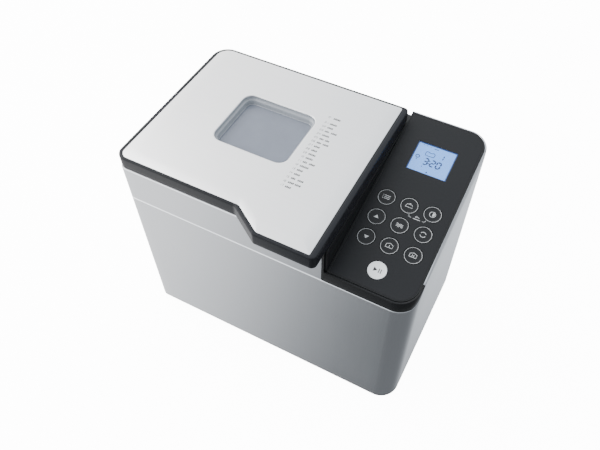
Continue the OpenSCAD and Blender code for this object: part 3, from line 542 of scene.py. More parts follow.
def make_finishes(looks):
    """Makes each material once, under the name that the pieces ask for."""
    FINISHES.update(
        silver=satin_silver("satin_silver_sheet", looks.silver),
        plate=satin_silver("brushed_lid_plate", looks.plate, (30.0, 2600.0, 2600.0), 0.34),
        rim=moulded(
            "lid_rim_charcoal", looks.rim, roughness=0.34, grain=700.0, depth=0.02, drift=0.05, gloss=0.14,
        ),
        black=moulded("black_moulding", looks.black, roughness=0.46, depth=0.16, gloss=0.25),
        fascia=moulded("fascia_black", looks.black, roughness=0.38, depth=0.05, drift=0.05, gloss=0.16),
        overlay=moulded(
            "overlay_film", looks.overlay, roughness=0.4, grain=1500.0, depth=0.04, drift=0.04, gloss=0.2,
        ),
        key=moulded(
            "key_film", looks.overlay, roughness=0.38, grain=1500.0, depth=0.04, drift=0.04, gloss=0.2,
        ),
        pale=moulded("start_key_pale", looks.ink, grain=1200.0, depth=0.04, drift=0.04),
        ink=ink("key_ring_ink", shade(looks.ink, 0.62), 0.45),
        dark_ink=ink("plate_ink", (0.018, 0.019, 0.021), 0.55),
        window=moulded("window_well", looks.window, roughness=0.28, grain=600.0, depth=0.05, coat=0.3),
        pane=clear_pane("window_glass", looks.glass, 0.62, 0.05),
        lens=clear_pane("display_lens", (0.1, 0.14, 0.2), 0.06, 0.05),
        display=display_glow("display_field", looks.display, 0.55),
        segment=ink("display_segment", (0.008, 0.02, 0.09), 0.5),
        surround=ink("display_surround", (0.02, 0.06, 0.22), 0.3),
        grey=moulded("vent_grey", (0.30, 0.31, 0.33), roughness=0.5, grain=800.0, depth=0.15),
        dark=moulded("base_grey", (0.045, 0.046, 0.05), roughness=0.55, grain=600.0, depth=0.25),
        rubber=rubber("foot_rubber", (0.03, 0.03, 0.032)),
        seal=rubber("seal_silicone", (0.28, 0.28, 0.29), 0.55),
        belt=rubber("belt_rubber", (0.02, 0.02, 0.02), 0.6),
        liner=galvanised("chamber_sheet", (0.62, 0.62, 0.61)),
        cover=satin_silver("lid_cover_sheet", (0.66, 0.66, 0.67), (900.0, 40.0, 900.0), 0.38),
        cast=cast_metal("cast_alloy", (0.55, 0.55, 0.57)),
        zinc=cast_metal("zinc_plate", (0.58, 0.58, 0.56), 0.34),
        turned=turned_metal("turned_steel", (0.62, 0.62, 0.63)),
        bright=turned_metal("bright_wire", (0.7, 0.7, 0.71), 0.16),
        bronze=turned_metal("bush_bronze", (0.62, 0.42, 0.2), 0.35),
        coating=coated("pan_coating", (0.055, 0.055, 0.058)),
        tube=dull_tube("heating_tube", (0.2, 0.19, 0.19)),
        ceramic=moulded(
            "ceramic_white", (0.82, 0.8, 0.74), roughness=0.3, grain=500.0, depth=0.08, coat=0.3,
        ),
        can=cast_metal("motor_can", (0.36, 0.37, 0.39), 0.4),
        board=board("board_green", (0.02, 0.13, 0.06)),
        pulley=moulded("pulley_black", (0.05, 0.05, 0.055), roughness=0.5, grain=500.0, depth=0.2),
    )


# ---------------------------------------------------------------------------------------------------------
# Sizes and colours that a user would change
# ---------------------------------------------------------------------------------------------------------


def length(name, description, default):
    """A property that holds a length."""
    return FloatProperty(name=name, description=description, default=default, unit="LENGTH")


def colour(name, description, default):
    """A property that holds a colour."""
    return FloatVectorProperty(name=name, description=description, default=default, subtype="COLOR", size=3)


class BreadSizes(bpy.types.PropertyGroup):
    """Rounding and small sizes of the visible shells."""

    left_radius: length("Left corners", "Radius of the body's left corners", 10 * MM)
    right_radius: length("Right corners", "Radius of the body's right corners", 24 * MM)
    wall: length("Wall", "Thickness of the sheet", 2.5 * MM)
    hem: length("Hem", "Rounding of the sheet's edges", 1.3 * MM)
    bevel_width: length("Bevel width", "Width of the bevel along the right top edge", 2.2 * MM)
    bevel_height: length("Bevel height", "Height of the bevel along the right top edge", 8 * MM)
    lip_start: length("Lip start", "Start of the lip's slant from the left face", 150 * MM)
    lip_slant: length("Lip slant", "Width of the lip's slant", 34 * MM)
    taper: length("Fascia taper", "Length of the fascia's tapering end", 20 * MM)
    rim_round: length("Rim rounding", "Rounding of the lid rim's top outer edge", 3.2 * MM)
    rim_foot: length("Rim foot", "Rounding of the lid rim's lower outer edge", 2.8 * MM)
    window_radius: length("Window corners", "Corner radius of the window", 12 * MM)
    list_gap: length("List gap", "Distance of the printed list from the window", 9.0 * MM)
    list_rise: length("List rise", "Distance of the list's first line behind the window's centre", 38.5 * MM)
    list_pitch: length("List pitch", "Distance between the list's lines", 6.45 * MM)
    key_radius: length("Key radius", "Radius of a key", 10 * MM)
    ring_width: length("Ring width", "Width of a key's printed ring", 0.38 * MM)
    arc_points: IntProperty(name="Arc points", description="Points on each rounded corner", default=17, min=5)


class BreadLooks(bpy.types.PropertyGroup):
    """Colours of the visible finishes."""

    silver: colour("Silver", "Wrap and band", (0.60, 0.615, 0.64))
    plate: colour("Plate", "Stainless lid plate", (0.80, 0.80, 0.805))
    rim: colour("Rim", "Lid rim", (0.012, 0.013, 0.016))
    black: colour("Black", "Black mouldings", (0.008, 0.0085, 0.0095))
    overlay: colour("Overlay", "Control panel film", (0.0085, 0.009, 0.0105))
    ink: colour("Ink", "Printed rings and start key", (0.80, 0.81, 0.82))
    window: colour("Window well", "Walls of the window's recess", (0.27, 0.29, 0.32))
    glass: colour("Glass", "Window panes", (0.235, 0.26, 0.315))
    display: colour("Display", "Backlit display", (0.15, 0.36, 0.86))
    floor_glow: FloatProperty(name="Floor glow", description="Light of the floor", default=12.0, min=0.0)
    lamp: FloatProperty(name="Lamp", description="Power of the overhead soft box", default=22.0, unit="POWER")


# ---------------------------------------------------------------------------------------------------------
# Body shells
# ---------------------------------------------------------------------------------------------------------


def body_corners(sizes):
    """The body's four corners with their radii, small at the left and large at the right."""
    left, right, front, back = AT["left"], AT["right"], AT["front"], AT["back"]
    small, large = sizes.left_radius, sizes.right_radius
    return [(left, front, small), (right, front, large), (right, back, large), (left, back, small)]


def wrap_top(points, sizes):
    """Height of the wrap's edge: level at the parting line, then up the slope along the right and rear."""
    x, y = points[:, 0], points[:, 1]
    slope = panel_height(y)
    rise = np.clip((y - AT["fascia_end"]) / sizes.taper + 1, 0, 1)
    height = AT["part"] + (slope - AT["part"]) * rise
    height = np.where(x < AT["split"], AT["part"], height)
    ledge = (x >= AT["split"]) & (x < AT["ledge_right"]) & (y > 0)
    return np.where(ledge, np.minimum(height, AT["deck"]), height)


def make_wrap(sizes):
    """Wrap: an outline of points and normals, with each row moved in by d and set at height h.

    Rows run from the inner foot, round the lower hem, up the outside, over the top edge and down the inside.
    """
    nudge = 0.02 * MM
    cuts = [(0, AT["split"] - nudge), (0, AT["split"] + nudge), (0, AT["ledge_right"] - nudge),
            (0, AT["ledge_right"] + nudge), (1, AT["fascia_end"])]
    points, normals = outline(body_corners(sizes), sizes.arc_points, 12 * MM, cuts)
    top = wrap_top(points, sizes)
    hem, wall, low = sizes.hem, sizes.wall, AT["low"]
    bevel_run_in = 45 * MM
    side = np.clip((points[:, 0] - (AT["right"] - 1.2 * MM)) / (1.0 * MM), 0, 1)
    side = side * np.clip((points[:, 1] - AT["fascia_end"]) / bevel_run_in, 0, 1)
    in_top = hem + (sizes.bevel_width - hem) * side
    drop = hem + (sizes.bevel_height - hem) * side
    turn = np.linspace(0, math.pi / 2, 5)
    rows = [(wall, low + hem)]
    rows += [(hem - hem * math.sin(a), low + hem - hem * math.cos(a)) for a in turn]
    rows += [(0.0, low + 4 * MM), (0.0, AT["part"] - 6 * MM), (0.0, AT["part"] - 1.5 * MM)]
    rows += [(0.0, top - drop - 0.25 * MM), (in_top * 0.03, top - drop + 0.1 * MM)]
    bow = 0.12
    rows += [(in_top * (bow * (1 - math.cos(a)) + (1 - bow) * math.sin(a)), top - drop * (1 - math.sin(a)))
             for a in turn[1:]]
    rows += [(wall - 0.2 * MM, top), (wall, top - 0.3 * MM), (wall, top - 3 * MM), (wall, low + 6 * MM)]
    rows += [(wall, low + hem)]
    data, count, columns = inset_stack(points, normals, rows)
    wrap = build("wrap_shell", data, loft_faces(count, columns, True), "base", FINISHES["silver"],
                 ("housing_wrap",))
    pierce(wrap, rear_cutters())
    shade_by_angle(wrap, 40.0)
    return wrap


def prism(points, near, far):
    """Points of an outline in x and z, copied at two depths y, with the faces of the closed prism."""
    count = len(points)
    rows = [np.column_stack([points[:, 0], np.full(count, y), points[:, 1]]) for y in (near, far)]
    faces = [list(f) for f in loft_faces(2, count, True)]
    return np.concatenate(rows), faces + [list(range(count))[::-1], list(range(count, 2 * count))]


def rear_cutters():
    """Ten upright slots and the round hole of the cord gland, as prisms through the rear wall."""
    near, far = AT["back"] - 5 * MM, AT["back"] + 3 * MM
    gland_lo, gland_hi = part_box("cord_gland")
    first_slot, slot_pitch, slot_wide = 44 * MM, 7 * MM, 3 * MM
    low, high = AT["low"] + 70 * MM, AT["low"] + 130 * MM
    gland_radius = 7.2 * MM
    cutters = []
    for i in range(10):
        left = AT["right"] - first_slot - slot_pitch * i
        right = left + slot_wide
        cutters.append(prism(np.array([(left, low), (right, low), (right, high), (left, high)]), near, far))
    a = np.linspace(0, 2 * math.pi, 40, endpoint=False)
    middle_x, middle_z = (gland_lo.x + gland_hi.x) / 2, (gland_lo.z + gland_hi.z) / 2
    hole = np.stack([middle_x + gland_radius * np.cos(a), middle_z + gland_radius * np.sin(a)], 1)
    return cutters + [prism(hole, near, far)]


def pierce(piece, cutters):
    """Cuts closed prisms out of a closed shell with an exact Boolean, and keeps the result as plain mesh."""
    points, faces, first = [], [], 0
    for data, polygons in cutters:
        points.append(data)
        faces += [[first + i for i in polygon] for polygon in polygons]
        first += len(data)
    mesh = bpy.data.meshes.new("cutter")
    mesh.from_pydata(np.concatenate(points).tolist(), [], faces)
    work = bmesh.new()
    work.from_mesh(mesh)
    bmesh.ops.recalc_face_normals(work, faces=work.faces)
    work.to_mesh(mesh)
    work.free()
    cutter = bpy.data.objects.new("cutter", mesh)
    bpy.context.scene.collection.objects.link(cutter)
    cut = piece.modifiers.new("slots", "BOOLEAN")
    cut.operation, cut.solver, cut.object = "DIFFERENCE", "EXACT", cutter
    context = bpy.context.evaluated_depsgraph_get()
    result = bpy.data.meshes.new_from_object(piece.evaluated_get(context))
    piece.modifiers.clear()
    if len(result.polygons) <= len(piece.data.polygons):
        raise RuntimeError("the rear slots did not cut " + piece.name)
    piece.data = result
    bpy.data.objects.remove(cutter)
    bpy.data.meshes.remove(mesh)


def open_path(points, normals, keep, start):
    """The kept stretch of a closed outline, turned so that it begins after the gap."""
    order = np.roll(np.arange(len(points)), -start)
    chosen = order[keep[order]]
    return points[chosen], normals[chosen]


def make_band(sizes):
    """Band under the lid: the wrap's rows on the outline left of the split, with a small hem at each end."""
    nudge = 0.02 * MM
    points, normals = outline(body_corners(sizes), sizes.arc_points, 12 * MM, [(0, AT["split"] - nudge)])
    keep = points[:, 0] <= AT["split"]
    start = int(np.argmax(~keep & np.roll(keep, 1)))
    points, normals = open_path(points, normals, keep, start)
    low, high, hem, wall = AT["part"] + AT["seam"], AT["deck"], sizes.hem, sizes.wall
    turn = np.linspace(0, math.pi / 2, 5)
    rows = [(wall, low + hem), (wall - hem, low)]
    rows += [(hem - hem * math.sin(a), low + hem - hem * math.cos(a)) for a in turn]
    rows += [(0.0, low + 3 * MM), (0.0, high - 3 * MM)]
    rows += [(hem - hem * math.cos(a), high - hem + hem * math.sin(a)) for a in turn]
    rows += [(wall - hem, high), (wall, high - hem), (wall, low + hem)]
    data, count, columns = inset_stack(points, normals, rows)
    return build("band_shell", data, loft_faces(count, columns, False), "base", FINISHES["silver"],
                 ("upper_band",))


def make_fascia(sizes):
    """Fascia: the body's outline from its left end to the taper, between the parting line and the slope."""
    points, normals = outline(
        body_corners(sizes), 2 * sizes.arc_points, 8 * MM,
        [(0, AT["fascia_left"] + 0.02 * MM), (1, AT["fascia_back"] - 0.02 * MM)],
    )
    keep = (points[:, 0] >= AT["fascia_left"]) & (points[:, 1] <= AT["fascia_back"])
    start = int(np.argmax(~keep & np.roll(keep, 1)))
    points, normals = open_path(points, normals, keep, start)
    high = panel_height(points[:, 1]) - 0.05 * MM
    rise = np.clip((points[:, 1] - AT["fascia_back"]) / sizes.taper + 1, 0, 1)
    low = AT["part"] + AT["seam"] + (high - AT["part"] - AT["seam"]) * rise
    low = np.minimum(low, high - 0.3 * MM)
    hem, wall = np.minimum(0.6 * MM, 0.3 * (high - low)), sizes.wall
    turn = np.linspace(0, math.pi / 2, 5)
    rows = [(wall, low + 0.3 * hem), (wall - 0.2 * MM, low)]
    rows += [(0.5 * hem, low), (0.0, low + 0.5 * hem), (0.0, low + (high - low) * 0.45)]
    rows += [(hem - hem * math.cos(a), high - hem + hem * math.sin(a)) for a in turn]
    rows += [(wall - 0.2 * MM, high), (wall, high - 0.3 * hem), (wall, low + 0.3 * hem)]
    data, count, columns = inset_stack(points, normals, rows)
    return build("fascia_strip", data, loft_faces(count, columns, False), "base", FINISHES["fascia"],
                 ("front_fascia",))


# ---------------------------------------------------------------------------------------------------------
# Lid
# ---------------------------------------------------------------------------------------------------------


def lid_corners(sizes, left, right, back, front, lip, slant, radius):
    """The lid's six corners for given left, right, back, front and lip edges, and a shift of its slant.

    The slant keeps its direction, so its two corners slide along it as the edges move.
    """
    slope = sizes.lip_slant / (AT["front"] - AT["lip_front"])
    base_x = AT["left"] + sizes.lip_start + slant
    return [
        (left, front, radius[0]),
        (base_x, front, radius[1]),
        (base_x + (front - lip) * slope, lip, radius[2]),
        (right, lip, radius[3]),
        (right, back, radius[4]),
        (left, back, radius[5]),
    ]


# Edges as lid_corners takes them: left, right, back, front and lip, then the slant's shift
PLATE_EDGES = (
    AT["plate_left"], AT["plate_right"], AT["plate_back"], AT["plate_front"], AT["plate_lip"], 4.15 * MM,
)
# Radii of the six corners: left front, slant's foot, slant's head, right front, right rear, left rear
PLATE_RADII = (9.45 * MM, 8 * MM, 5 * MM, 1.2 * MM, 2.2 * MM, 14.85 * MM)
RIM_RADII = (12 * MM, 8 * MM, 5 * MM, 6 * MM, 5 * MM, 20 * MM)


def rim_ring(sizes, inset, plate_share=0.0):
    """Outline of the rim moved in by a distance, blended towards the plate's edge by a share from 0 to 1."""
    outer = (AT["left"] + inset, AT["lid_right"] - inset, AT["lid_back"] - inset, AT["front"] + inset,
             AT["lip_front"] + inset, 0.5 * inset)
    edges = [a + (b - a) * plate_share for a, b in zip(outer, PLATE_EDGES)]
    radius = []
    for i, (a, b) in enumerate(zip(RIM_RADII, PLATE_RADII)):
        bend = -1 if i == 1 else 1
        radius.append(max((a - bend * inset) * (1 - plate_share) + b * plate_share, 0.6 * MM))
    return outline(lid_corners(sizes, *edges, radius), 9, 1.0)[0]


def make_rim(sizes):
    """Lid rim: rows of outlines. Each is moved in by d at height h, then blended out to the plate's edge."""
    low, high, r, foot = AT["lid_low"], AT["top"], sizes.rim_round, sizes.rim_foot
    turn = np.linspace(0, math.pi / 2, 7)
    stack = [(rim_ring(sizes, 0.0, 1.0), low + 1.1 * MM), (rim_ring(sizes, 3.0 * MM), low + 0.6 * MM)]
    stack += [(rim_ring(sizes, 2.4 * MM), low)]
    stack += [(rim_ring(sizes, foot * (1 - math.sin(a))), low + foot * (1 - math.cos(a))) for a in turn]
    stack += [(rim_ring(sizes, 0.0), low + 0.45 * (high - low))]
    stack += [(rim_ring(sizes, 0.38 * r * (1 - math.cos(a))), high - r * (1 - math.sin(a))) for a in turn]
    stack += [(rim_ring(sizes, 0.38 * r, 0.5), high), (rim_ring(sizes, 0.38 * r, 0.93), high)]
    stack += [(rim_ring(sizes, 0.0, 1.0), high - 0.15 * MM), (rim_ring(sizes, 0.0, 1.0), high - 1.0 * MM)]
    data, count, columns = ring_stack(stack)
    rim = build("lid_frame", data, loft_faces(count, columns, True), "lid", FINISHES["rim"])
    shade_by_angle(rim, 50.0)
    core = refined("lid_rim", "lid", FINISHES["rim"], 0.0, name="lid_frame_core")
    shrink_top(core)
    return rim


def shrink_top(core):
    """Moves the rim's core inside the rounded rim: all but the hinge side goes in, and its top goes down."""
    inward, downward, near_middle = 3.2 * MM, 1.4 * MM, 80 * MM
    mesh = core.data
    co = np.zeros(len(mesh.vertices) * 3)
    mesh.vertices.foreach_get("co", co)
    co = co.reshape(-1, 3)
    inside = co[:, 1] < AT["lid_back"] + 0.1 * MM
    middle = np.array([(AT["left"] + AT["lid_right"]) / 2, (AT["front"] + AT["lid_back"]) / 2])
    away = co[:, :2] - middle
    reach = np.maximum(np.abs(away), 1e-6)
    step = np.sign(away) * np.minimum(inward, reach) * (reach > near_middle)
    co[:, :2] -= step * inside[:, None]
    tall = inside & (co[:, 2] > AT["top"] - 3 * MM)
    co[tall, 2] -= downward
    mesh.vertices.foreach_set("co", co.ravel())
    mesh.update()


def hole_ring(sizes, grow):
    """Outline of the window grown by a distance: a rectangle with rounded corners."""
    lo, hi, r = AT["pane_lo"], AT["pane_hi"], sizes.window_radius + grow
    corners = [(lo.x - grow, lo.y - grow, r), (hi.x + grow, lo.y - grow, r), (hi.x + grow, hi.y + grow, r),
               (lo.x - grow, hi.y + grow, r)]
    return outline(corners, 17, 6 * MM)[0]


def make_plate(sizes):
    """Lid plate: rings between the window's rolled edge and the outer edge, found along rays from the window.

    The rings are even in a share s: point = hole + s * (edge - hole). The window's edge rolls down by a
    quarter arc, and the outer edge turns down more sharply.
    """
    top, thick = AT["plate_top"], 0.8 * MM
    corners = lid_corners(sizes, *PLATE_EDGES, PLATE_RADII)
    base = hole_ring(sizes, 0.0)
    extra = outline(corners, 13, 5 * MM)[0]
    middle = base.mean(0)
    angles = np.concatenate([np.arctan2(*(p - middle).T[::-1]) for p in (base, extra)])
    angles = np.unique(np.round(np.mod(angles, 2 * math.pi), 5))
    far = middle + np.stack([np.cos(angles), np.sin(angles)], 1)
    hole = meet_rays(middle, far, base)
    edge = meet_rays(middle, far, outline(corners, 41, 0.5 * MM)[0])
    unit = (edge - hole) / np.linalg.norm(edge - hole, axis=1)[:, None]
    roll = 0.9 * MM
    turn = np.linspace(0, math.pi / 2, 5)
    stack = [(hole, top - 1.6 * MM)]
    stack += [(hole + unit * roll * (1 - math.cos(a)), top - roll + roll * math.sin(a)) for a in turn]
    stack += [(hole + unit * 1.6 * MM, top)]
    stack += [(hole + (edge - hole) * s, top) for s in (0.2, 0.5, 0.8)]
    stack += [(edge - unit * 0.5 * MM, top), (edge - unit * 0.15 * MM, top - 0.06 * MM)]
    stack += [(edge, top - 0.25 * MM), (edge, top - thick)]
    data, count, columns = ring_stack(stack)
    plate = build("lid_plate", data, loft_faces(count, columns, True), "lid", FINISHES["plate"],
                  ("lid_top_plate",))
    shade_by_angle(plate, 40.0)
    return plate


def meet_rays(middle, far, ring):
    """Where each ray from the middle meets a closed outline, by interpolating its radius on the angle."""
    angle = np.mod(np.arctan2(ring[:, 1] - middle[1], ring[:, 0] - middle[0]), 2 * math.pi)
    order = np.argsort(angle)
    radius = np.linalg.norm(ring - middle, axis=1)[order]
    wanted = np.mod(np.arctan2(far[:, 1] - middle[1], far[:, 0] - middle[0]), 2 * math.pi)
    reach = np.interp(wanted, angle[order], radius, period=2 * math.pi)
    return middle + np.stack([np.cos(wanted), np.sin(wanted)], 1) * reach[:, None]


def make_window(sizes):
    """Window well: rounded rectangles lofted down the recess, with a step and a narrow lower shaft."""
    pane_top = AT["pane_hi"].z
    top = AT["plate_top"] - 1.0 * MM
    shaft_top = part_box("window_inner_pane")[1].z + 0.1 * MM
    step_z = top - 3.2 * MM
    rows = [
        (3.0, top), (0.9, top), (0.2, top - 0.4 * MM), (-0.1, top - 1.0 * MM), (-0.4, step_z + 0.5 * MM),
        (-0.8, step_z), (-2.4, step_z - 0.2 * MM), (-2.9, step_z - 0.7 * MM), (-3.3, pane_top + 0.8 * MM),
        (-3.6, pane_top + 0.2 * MM), (-4.2, pane_top + 0.02 * MM), (-4.2, pane_top - 1.5 * MM),
        (-6.0, AT["pane_lo"].z), (-6.2, shaft_top + 0.1 * MM), (-4.0, shaft_top), (-1.5, shaft_top),
        (-1.5, AT["pane_lo"].z), (3.0, AT["pane_lo"].z), (3.0, top),
    ]
    stack = [(hole_ring(sizes, grow * MM), z) for grow, z in rows]
    data, count, columns = ring_stack(stack)
    well = build("window_well", data, loft_faces(count, columns, True), "lid", FINISHES["window"],
                 ("window_frame",))
    shade_by_angle(well, 50.0)
    return well


def make_pane(sizes, node, name):
    """Window pane: a rounded slab with softened edges, closed by caps of its own outline."""
    lo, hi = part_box(node)
    mid_x, mid_y = (lo.x + hi.x) / 2, (lo.y + hi.y) / 2
    half_x, half_y = (hi.x - lo.x) / 2, (hi.y - lo.y) / 2
    edge = 0.35 * MM

    def ring(inset):
        r = sizes.window_radius - 2 * MM - inset
        return outline([(mid_x - half_x + inset, mid_y - half_y + inset, r),
                        (mid_x + half_x - inset, mid_y - half_y + inset, r),
                        (mid_x + half_x - inset, mid_y + half_y - inset, r),
                        (mid_x - half_x + inset, mid_y + half_y - inset, r)], 11, 1.0)[0]

    stack = [(ring(edge), lo.z), (ring(0.0), lo.z + edge), (ring(0.0), hi.z - edge), (ring(edge), hi.z)]
    data, count, columns = ring_stack(stack)
    faces = [list(f) for f in loft_faces(count, columns, True)]
    faces += [list(range(columns))[::-1], list(range((count - 1) * columns, count * columns))]
    pane = build(name, data, faces, "lid", FINISHES["pane"], (node,))
    shade_by_angle(pane, 30.0)
    return pane


# ---------------------------------------------------------------------------------------------------------
# Control panel
# ---------------------------------------------------------------------------------------------------------


def slope_point(x, s, up=0.0):
    """A point of the panel: x across, s up the slope from the front edge, up out of the surface."""
    tilt = AT["tilt"]
    return np.stack([
        np.asarray(x, float),
        AT["front"] + np.asarray(s, float) * math.cos(tilt) - np.asarray(up, float) * math.sin(tilt),
        AT["panel_front_z"] + np.asarray(s, float) * math.sin(tilt) + np.asarray(up, float) * math.cos(tilt),
    ], -1)


def key_centre(node):
    """Centre of a key on the slope, from its CAD box: (x, s)."""
    lo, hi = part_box(node)
    tilt = AT["tilt"]
    height = ((hi.z + lo.z) / 2 - AT["panel_front_z"]) * math.sin(tilt)
    return (lo.x + hi.x) / 2, ((hi.y + lo.y) / 2 - AT["front"]) * math.cos(tilt) + height


KEY_NODES = [f"key_{row}{column}" for row in "abc" for column in (1, 2, 3)]


def make_key(sizes, node, pale):
    """Key: a profile of radius and height turned about the panel's normal, with a ring band in ink."""
    x0, s0 = key_centre(node)
    r, ring = sizes.key_radius, sizes.ring_width
    profile = [(0.0, 0.10), (r - 3.0 * MM, 0.10), (r - 0.75 * MM - ring, 0.16), (r - 0.7 * MM - ring, 0.2),
               (r - 0.7 * MM, 0.2), (r - 0.6 * MM, 0.2), (r - 0.3 * MM, 0.16), (r - 0.06 * MM, 0.0),
               (r, -0.3), (r, -3.3), (0.0, -3.3)]
    around = 72
    angle = np.linspace(0, 2 * math.pi, around, endpoint=False)
    radius = np.array([p[0] for p in profile])[:, None]
    up = np.array([p[1] for p in profile])[:, None] * MM
    data = slope_point(x0 + radius * np.cos(angle), s0 + radius * np.sin(angle), up + 0 * angle)
    faces = loft_faces(len(profile), around, True)
    band = np.repeat(np.arange(len(profile) - 1), around)
    inked = 3
    marks = np.zeros(len(band), int) if pale else np.where(band == inked, 1, 0)
    face_finish = FINISHES["pale"] if pale else FINISHES["key"]
    return build(node + "_cap", data.reshape(-1, 3), faces, node + "_body", None, (node,),
                 True, [face_finish, FINISHES["ink"]], marks)


def strip(points, width):
    """Outline of a thick open line: each point moved half a width to both sides of the mean direction."""
    points = np.asarray(points, float)
    along = np.gradient(points, axis=0)
    along /= np.linalg.norm(along, axis=1)[:, None]
    across = np.stack([-along[:, 1], along[:, 0]], 1) * width / 2
    return np.concatenate([points + across, (points - across)[::-1]])


def bar(x, y, w, h):
    """A thin upright rectangle as four points."""
    left, right, low, high = x - w / 2, x + w / 2, y - h / 2, y + h / 2
    return np.array([(left, low), (right, low), (right, high), (left, high)])


def arc_points(x, y, r, start, end, count=13):
    """Points along a circle's arc, angles in degrees."""
    a = np.radians(np.linspace(start, end, count))
    return np.stack([x + r * np.cos(a), y + r * np.sin(a)], 1)


def symbol(kind):
    """Generic picture for a key, as polygons in millimetres about its centre."""
    house = strip([(-3, -1.8), (-3, 1.2), (0, 2.4), (3, 1.2), (3, -1.8), (-3, -1.8)], 0.45)
    wave = np.linspace(-3, 3, 13)
    line_heights = [1.6 - 1.6 * i for i in range(3)]
    shapes = {
        "list": [bar(0.6, y, 5.2, 0.5) for y in line_heights]
        + [bar(-3.2, y, 0.6, 0.6) for y in line_heights],
        "scale": [
            strip([(-3.2, -1.6), (-2.2, 1.4), (2.2, 1.4), (3.2, -1.6), (-3.2, -1.6)], 0.45),
            bar(0, 2.2, 1.4, 0.5),
        ],
        "shade": [strip(arc_points(0, 0, 2.6, 0, 360, 25), 0.45),
                  np.concatenate([arc_points(0, 0, 1.8, -90, 90), [(0, 1.8)]])],
        "bake": [strip(np.stack([wave, 1.2 * k + 0.5 * np.sin(np.linspace(0, 12.5, 13))], 1), 0.45)
                 for k in (-1, 0, 1)],
        "mix": [strip(arc_points(0, 0, 2.4, 20, 160), 0.5), strip(arc_points(0, 0, 2.4, 200, 340), 0.5)],
        "down": [np.array([(-2.2, 1.2), (0, -1.8), (2.2, 1.2)])],
        "up": [np.array([(-2.2, -1.2), (2.2, -1.2), (0, 1.8)])],
        "one": [house, bar(0, -0.3, 0.5, 2.0)],
        "two": [house, bar(-0.7, -0.3, 0.5, 2.0), bar(0.7, -0.3, 0.5, 2.0)],
        "start": [np.array([(-3.0, -1.8), (-3.0, 1.8), (0.2, 0)]),
                  bar(1.4, 0, 0.7, 3.6), bar(3.0, 0, 0.7, 3.6)],
    }
    return shapes[kind]


def print_on_slope(name, shapes, centre, up, body, finish, scale=1.0):
    """Printed shapes: each polygon in millimetres is laid on the panel and given a 0.03 mm thickness."""
    points, faces = [], []
    for shape in shapes:
        shape = np.asarray(shape, float) * MM * scale
        n, first = len(shape), sum(len(p) for p in points)
        top = slope_point(centre[0] + shape[:, 0], centre[1] + shape[:, 1], np.full(n, up + 0.03 * MM))
        low = slope_point(centre[0] + shape[:, 0], centre[1] + shape[:, 1], np.full(n, up - 0.05 * MM))
        points += [top, low]
        faces += [[first + i for i in range(n)], [first + n + i for i in reversed(range(n))]]
        faces += [[first + i, first + n + i, first + n + (i + 1) % n, first + (i + 1) % n] for i in range(n)]
    return build(name, np.concatenate(points), faces, body, finish, smooth=False)


KEY_SYMBOLS = ["list", "scale", "shade", "up", "bake", "mix", "down", "one", "two"]


def make_keys(sizes):
    """All ten keys with their printed symbols."""
    on_cap = 0.11 * MM
    for node, kind in zip(KEY_NODES, KEY_SYMBOLS):
        make_key(sizes, node, False)
        print_on_slope(
            node + "_symbol", symbol(kind), key_centre(node), on_cap, node + "_body", FINISHES["ink"], 1.25
        )
    make_key(sizes, "key_start", True)
    print_on_slope(
        "key_start_symbol", symbol("start"), key_centre("key_start"), on_cap, "key_start_body",
        FINISHES["dark_ink"], 1.35,
    )


def make_panel_print():
    """Printed bracket under the second and third keys, with a small key picture between its ends."""
    ax, a_s = key_centre("key_a2")
    bx, b_s = key_centre("key_a3")
    mid = ((ax + bx) / 2, (a_s + b_s) / 2)
    half = (bx - ax) / 2 / MM
    shapes = [
        strip([(-half + 3.4, -9.6), (-half + 4.6, -12.2), (-half + 7.0, -12.2)], 0.4),
        strip([(half - 3.4, -9.6), (half - 4.6, -12.2), (half - 7.0, -12.2)], 0.4),
        strip(arc_points(-1.2, -9.6, 0.9, 0, 360, 17), 0.4),
        bar(1.0, -9.6, 2.8, 0.4), bar(2.0, -10.1, 0.4, 0.8),
        bar(0, -12.4, 8.0, 0.7),
    ]
    print_on_slope("panel_bracket_print", shapes, mid, 0.0, "base", FINISHES["ink"])


SEGMENTS = {
    "0": "abcdef", "1": "bc", "2": "abged", "3": "abgcd", "4": "fgbc",
    "5": "afgcd", "6": "afgedc", "7": "abc", "8": "abcdefg", "9": "abcdfg",
}


def digit(character, x, y, w, h):
    """Seven-segment digit: each lit bar is a slim hexagon along one side of a w by h cell, leaning right."""
    t = w * 0.36
    ends = {
        "a": ((0, h), (w, h)), "b": ((w, h), (w, h / 2)), "c": ((w, h / 2), (w, 0)), "d": ((0, 0), (w, 0)),
        "e": ((0, 0), (0, h / 2)), "f": ((0, h / 2), (0, h)), "g": ((0, h / 2), (w, h / 2)),
    }
    shapes = []
    for key in SEGMENTS[character]:
        p, q = (np.array(e, float) for e in ends[key])
        u = (q - p) / np.linalg.norm(q - p)
        n = np.array([-u[1], u[0]])
        p, q = p + u * t * 0.12, q - u * t * 0.12
        hexagon = [p, p + (u + n) * t / 2, q + (-u + n) * t / 2, q, q - (u + n) * t / 2, p + (u - n) * t / 2]
        shape = np.array(hexagon)
        shape[:, 0] += shape[:, 1] * 0.1
        shapes.append(shape + (x, y))
    return shapes


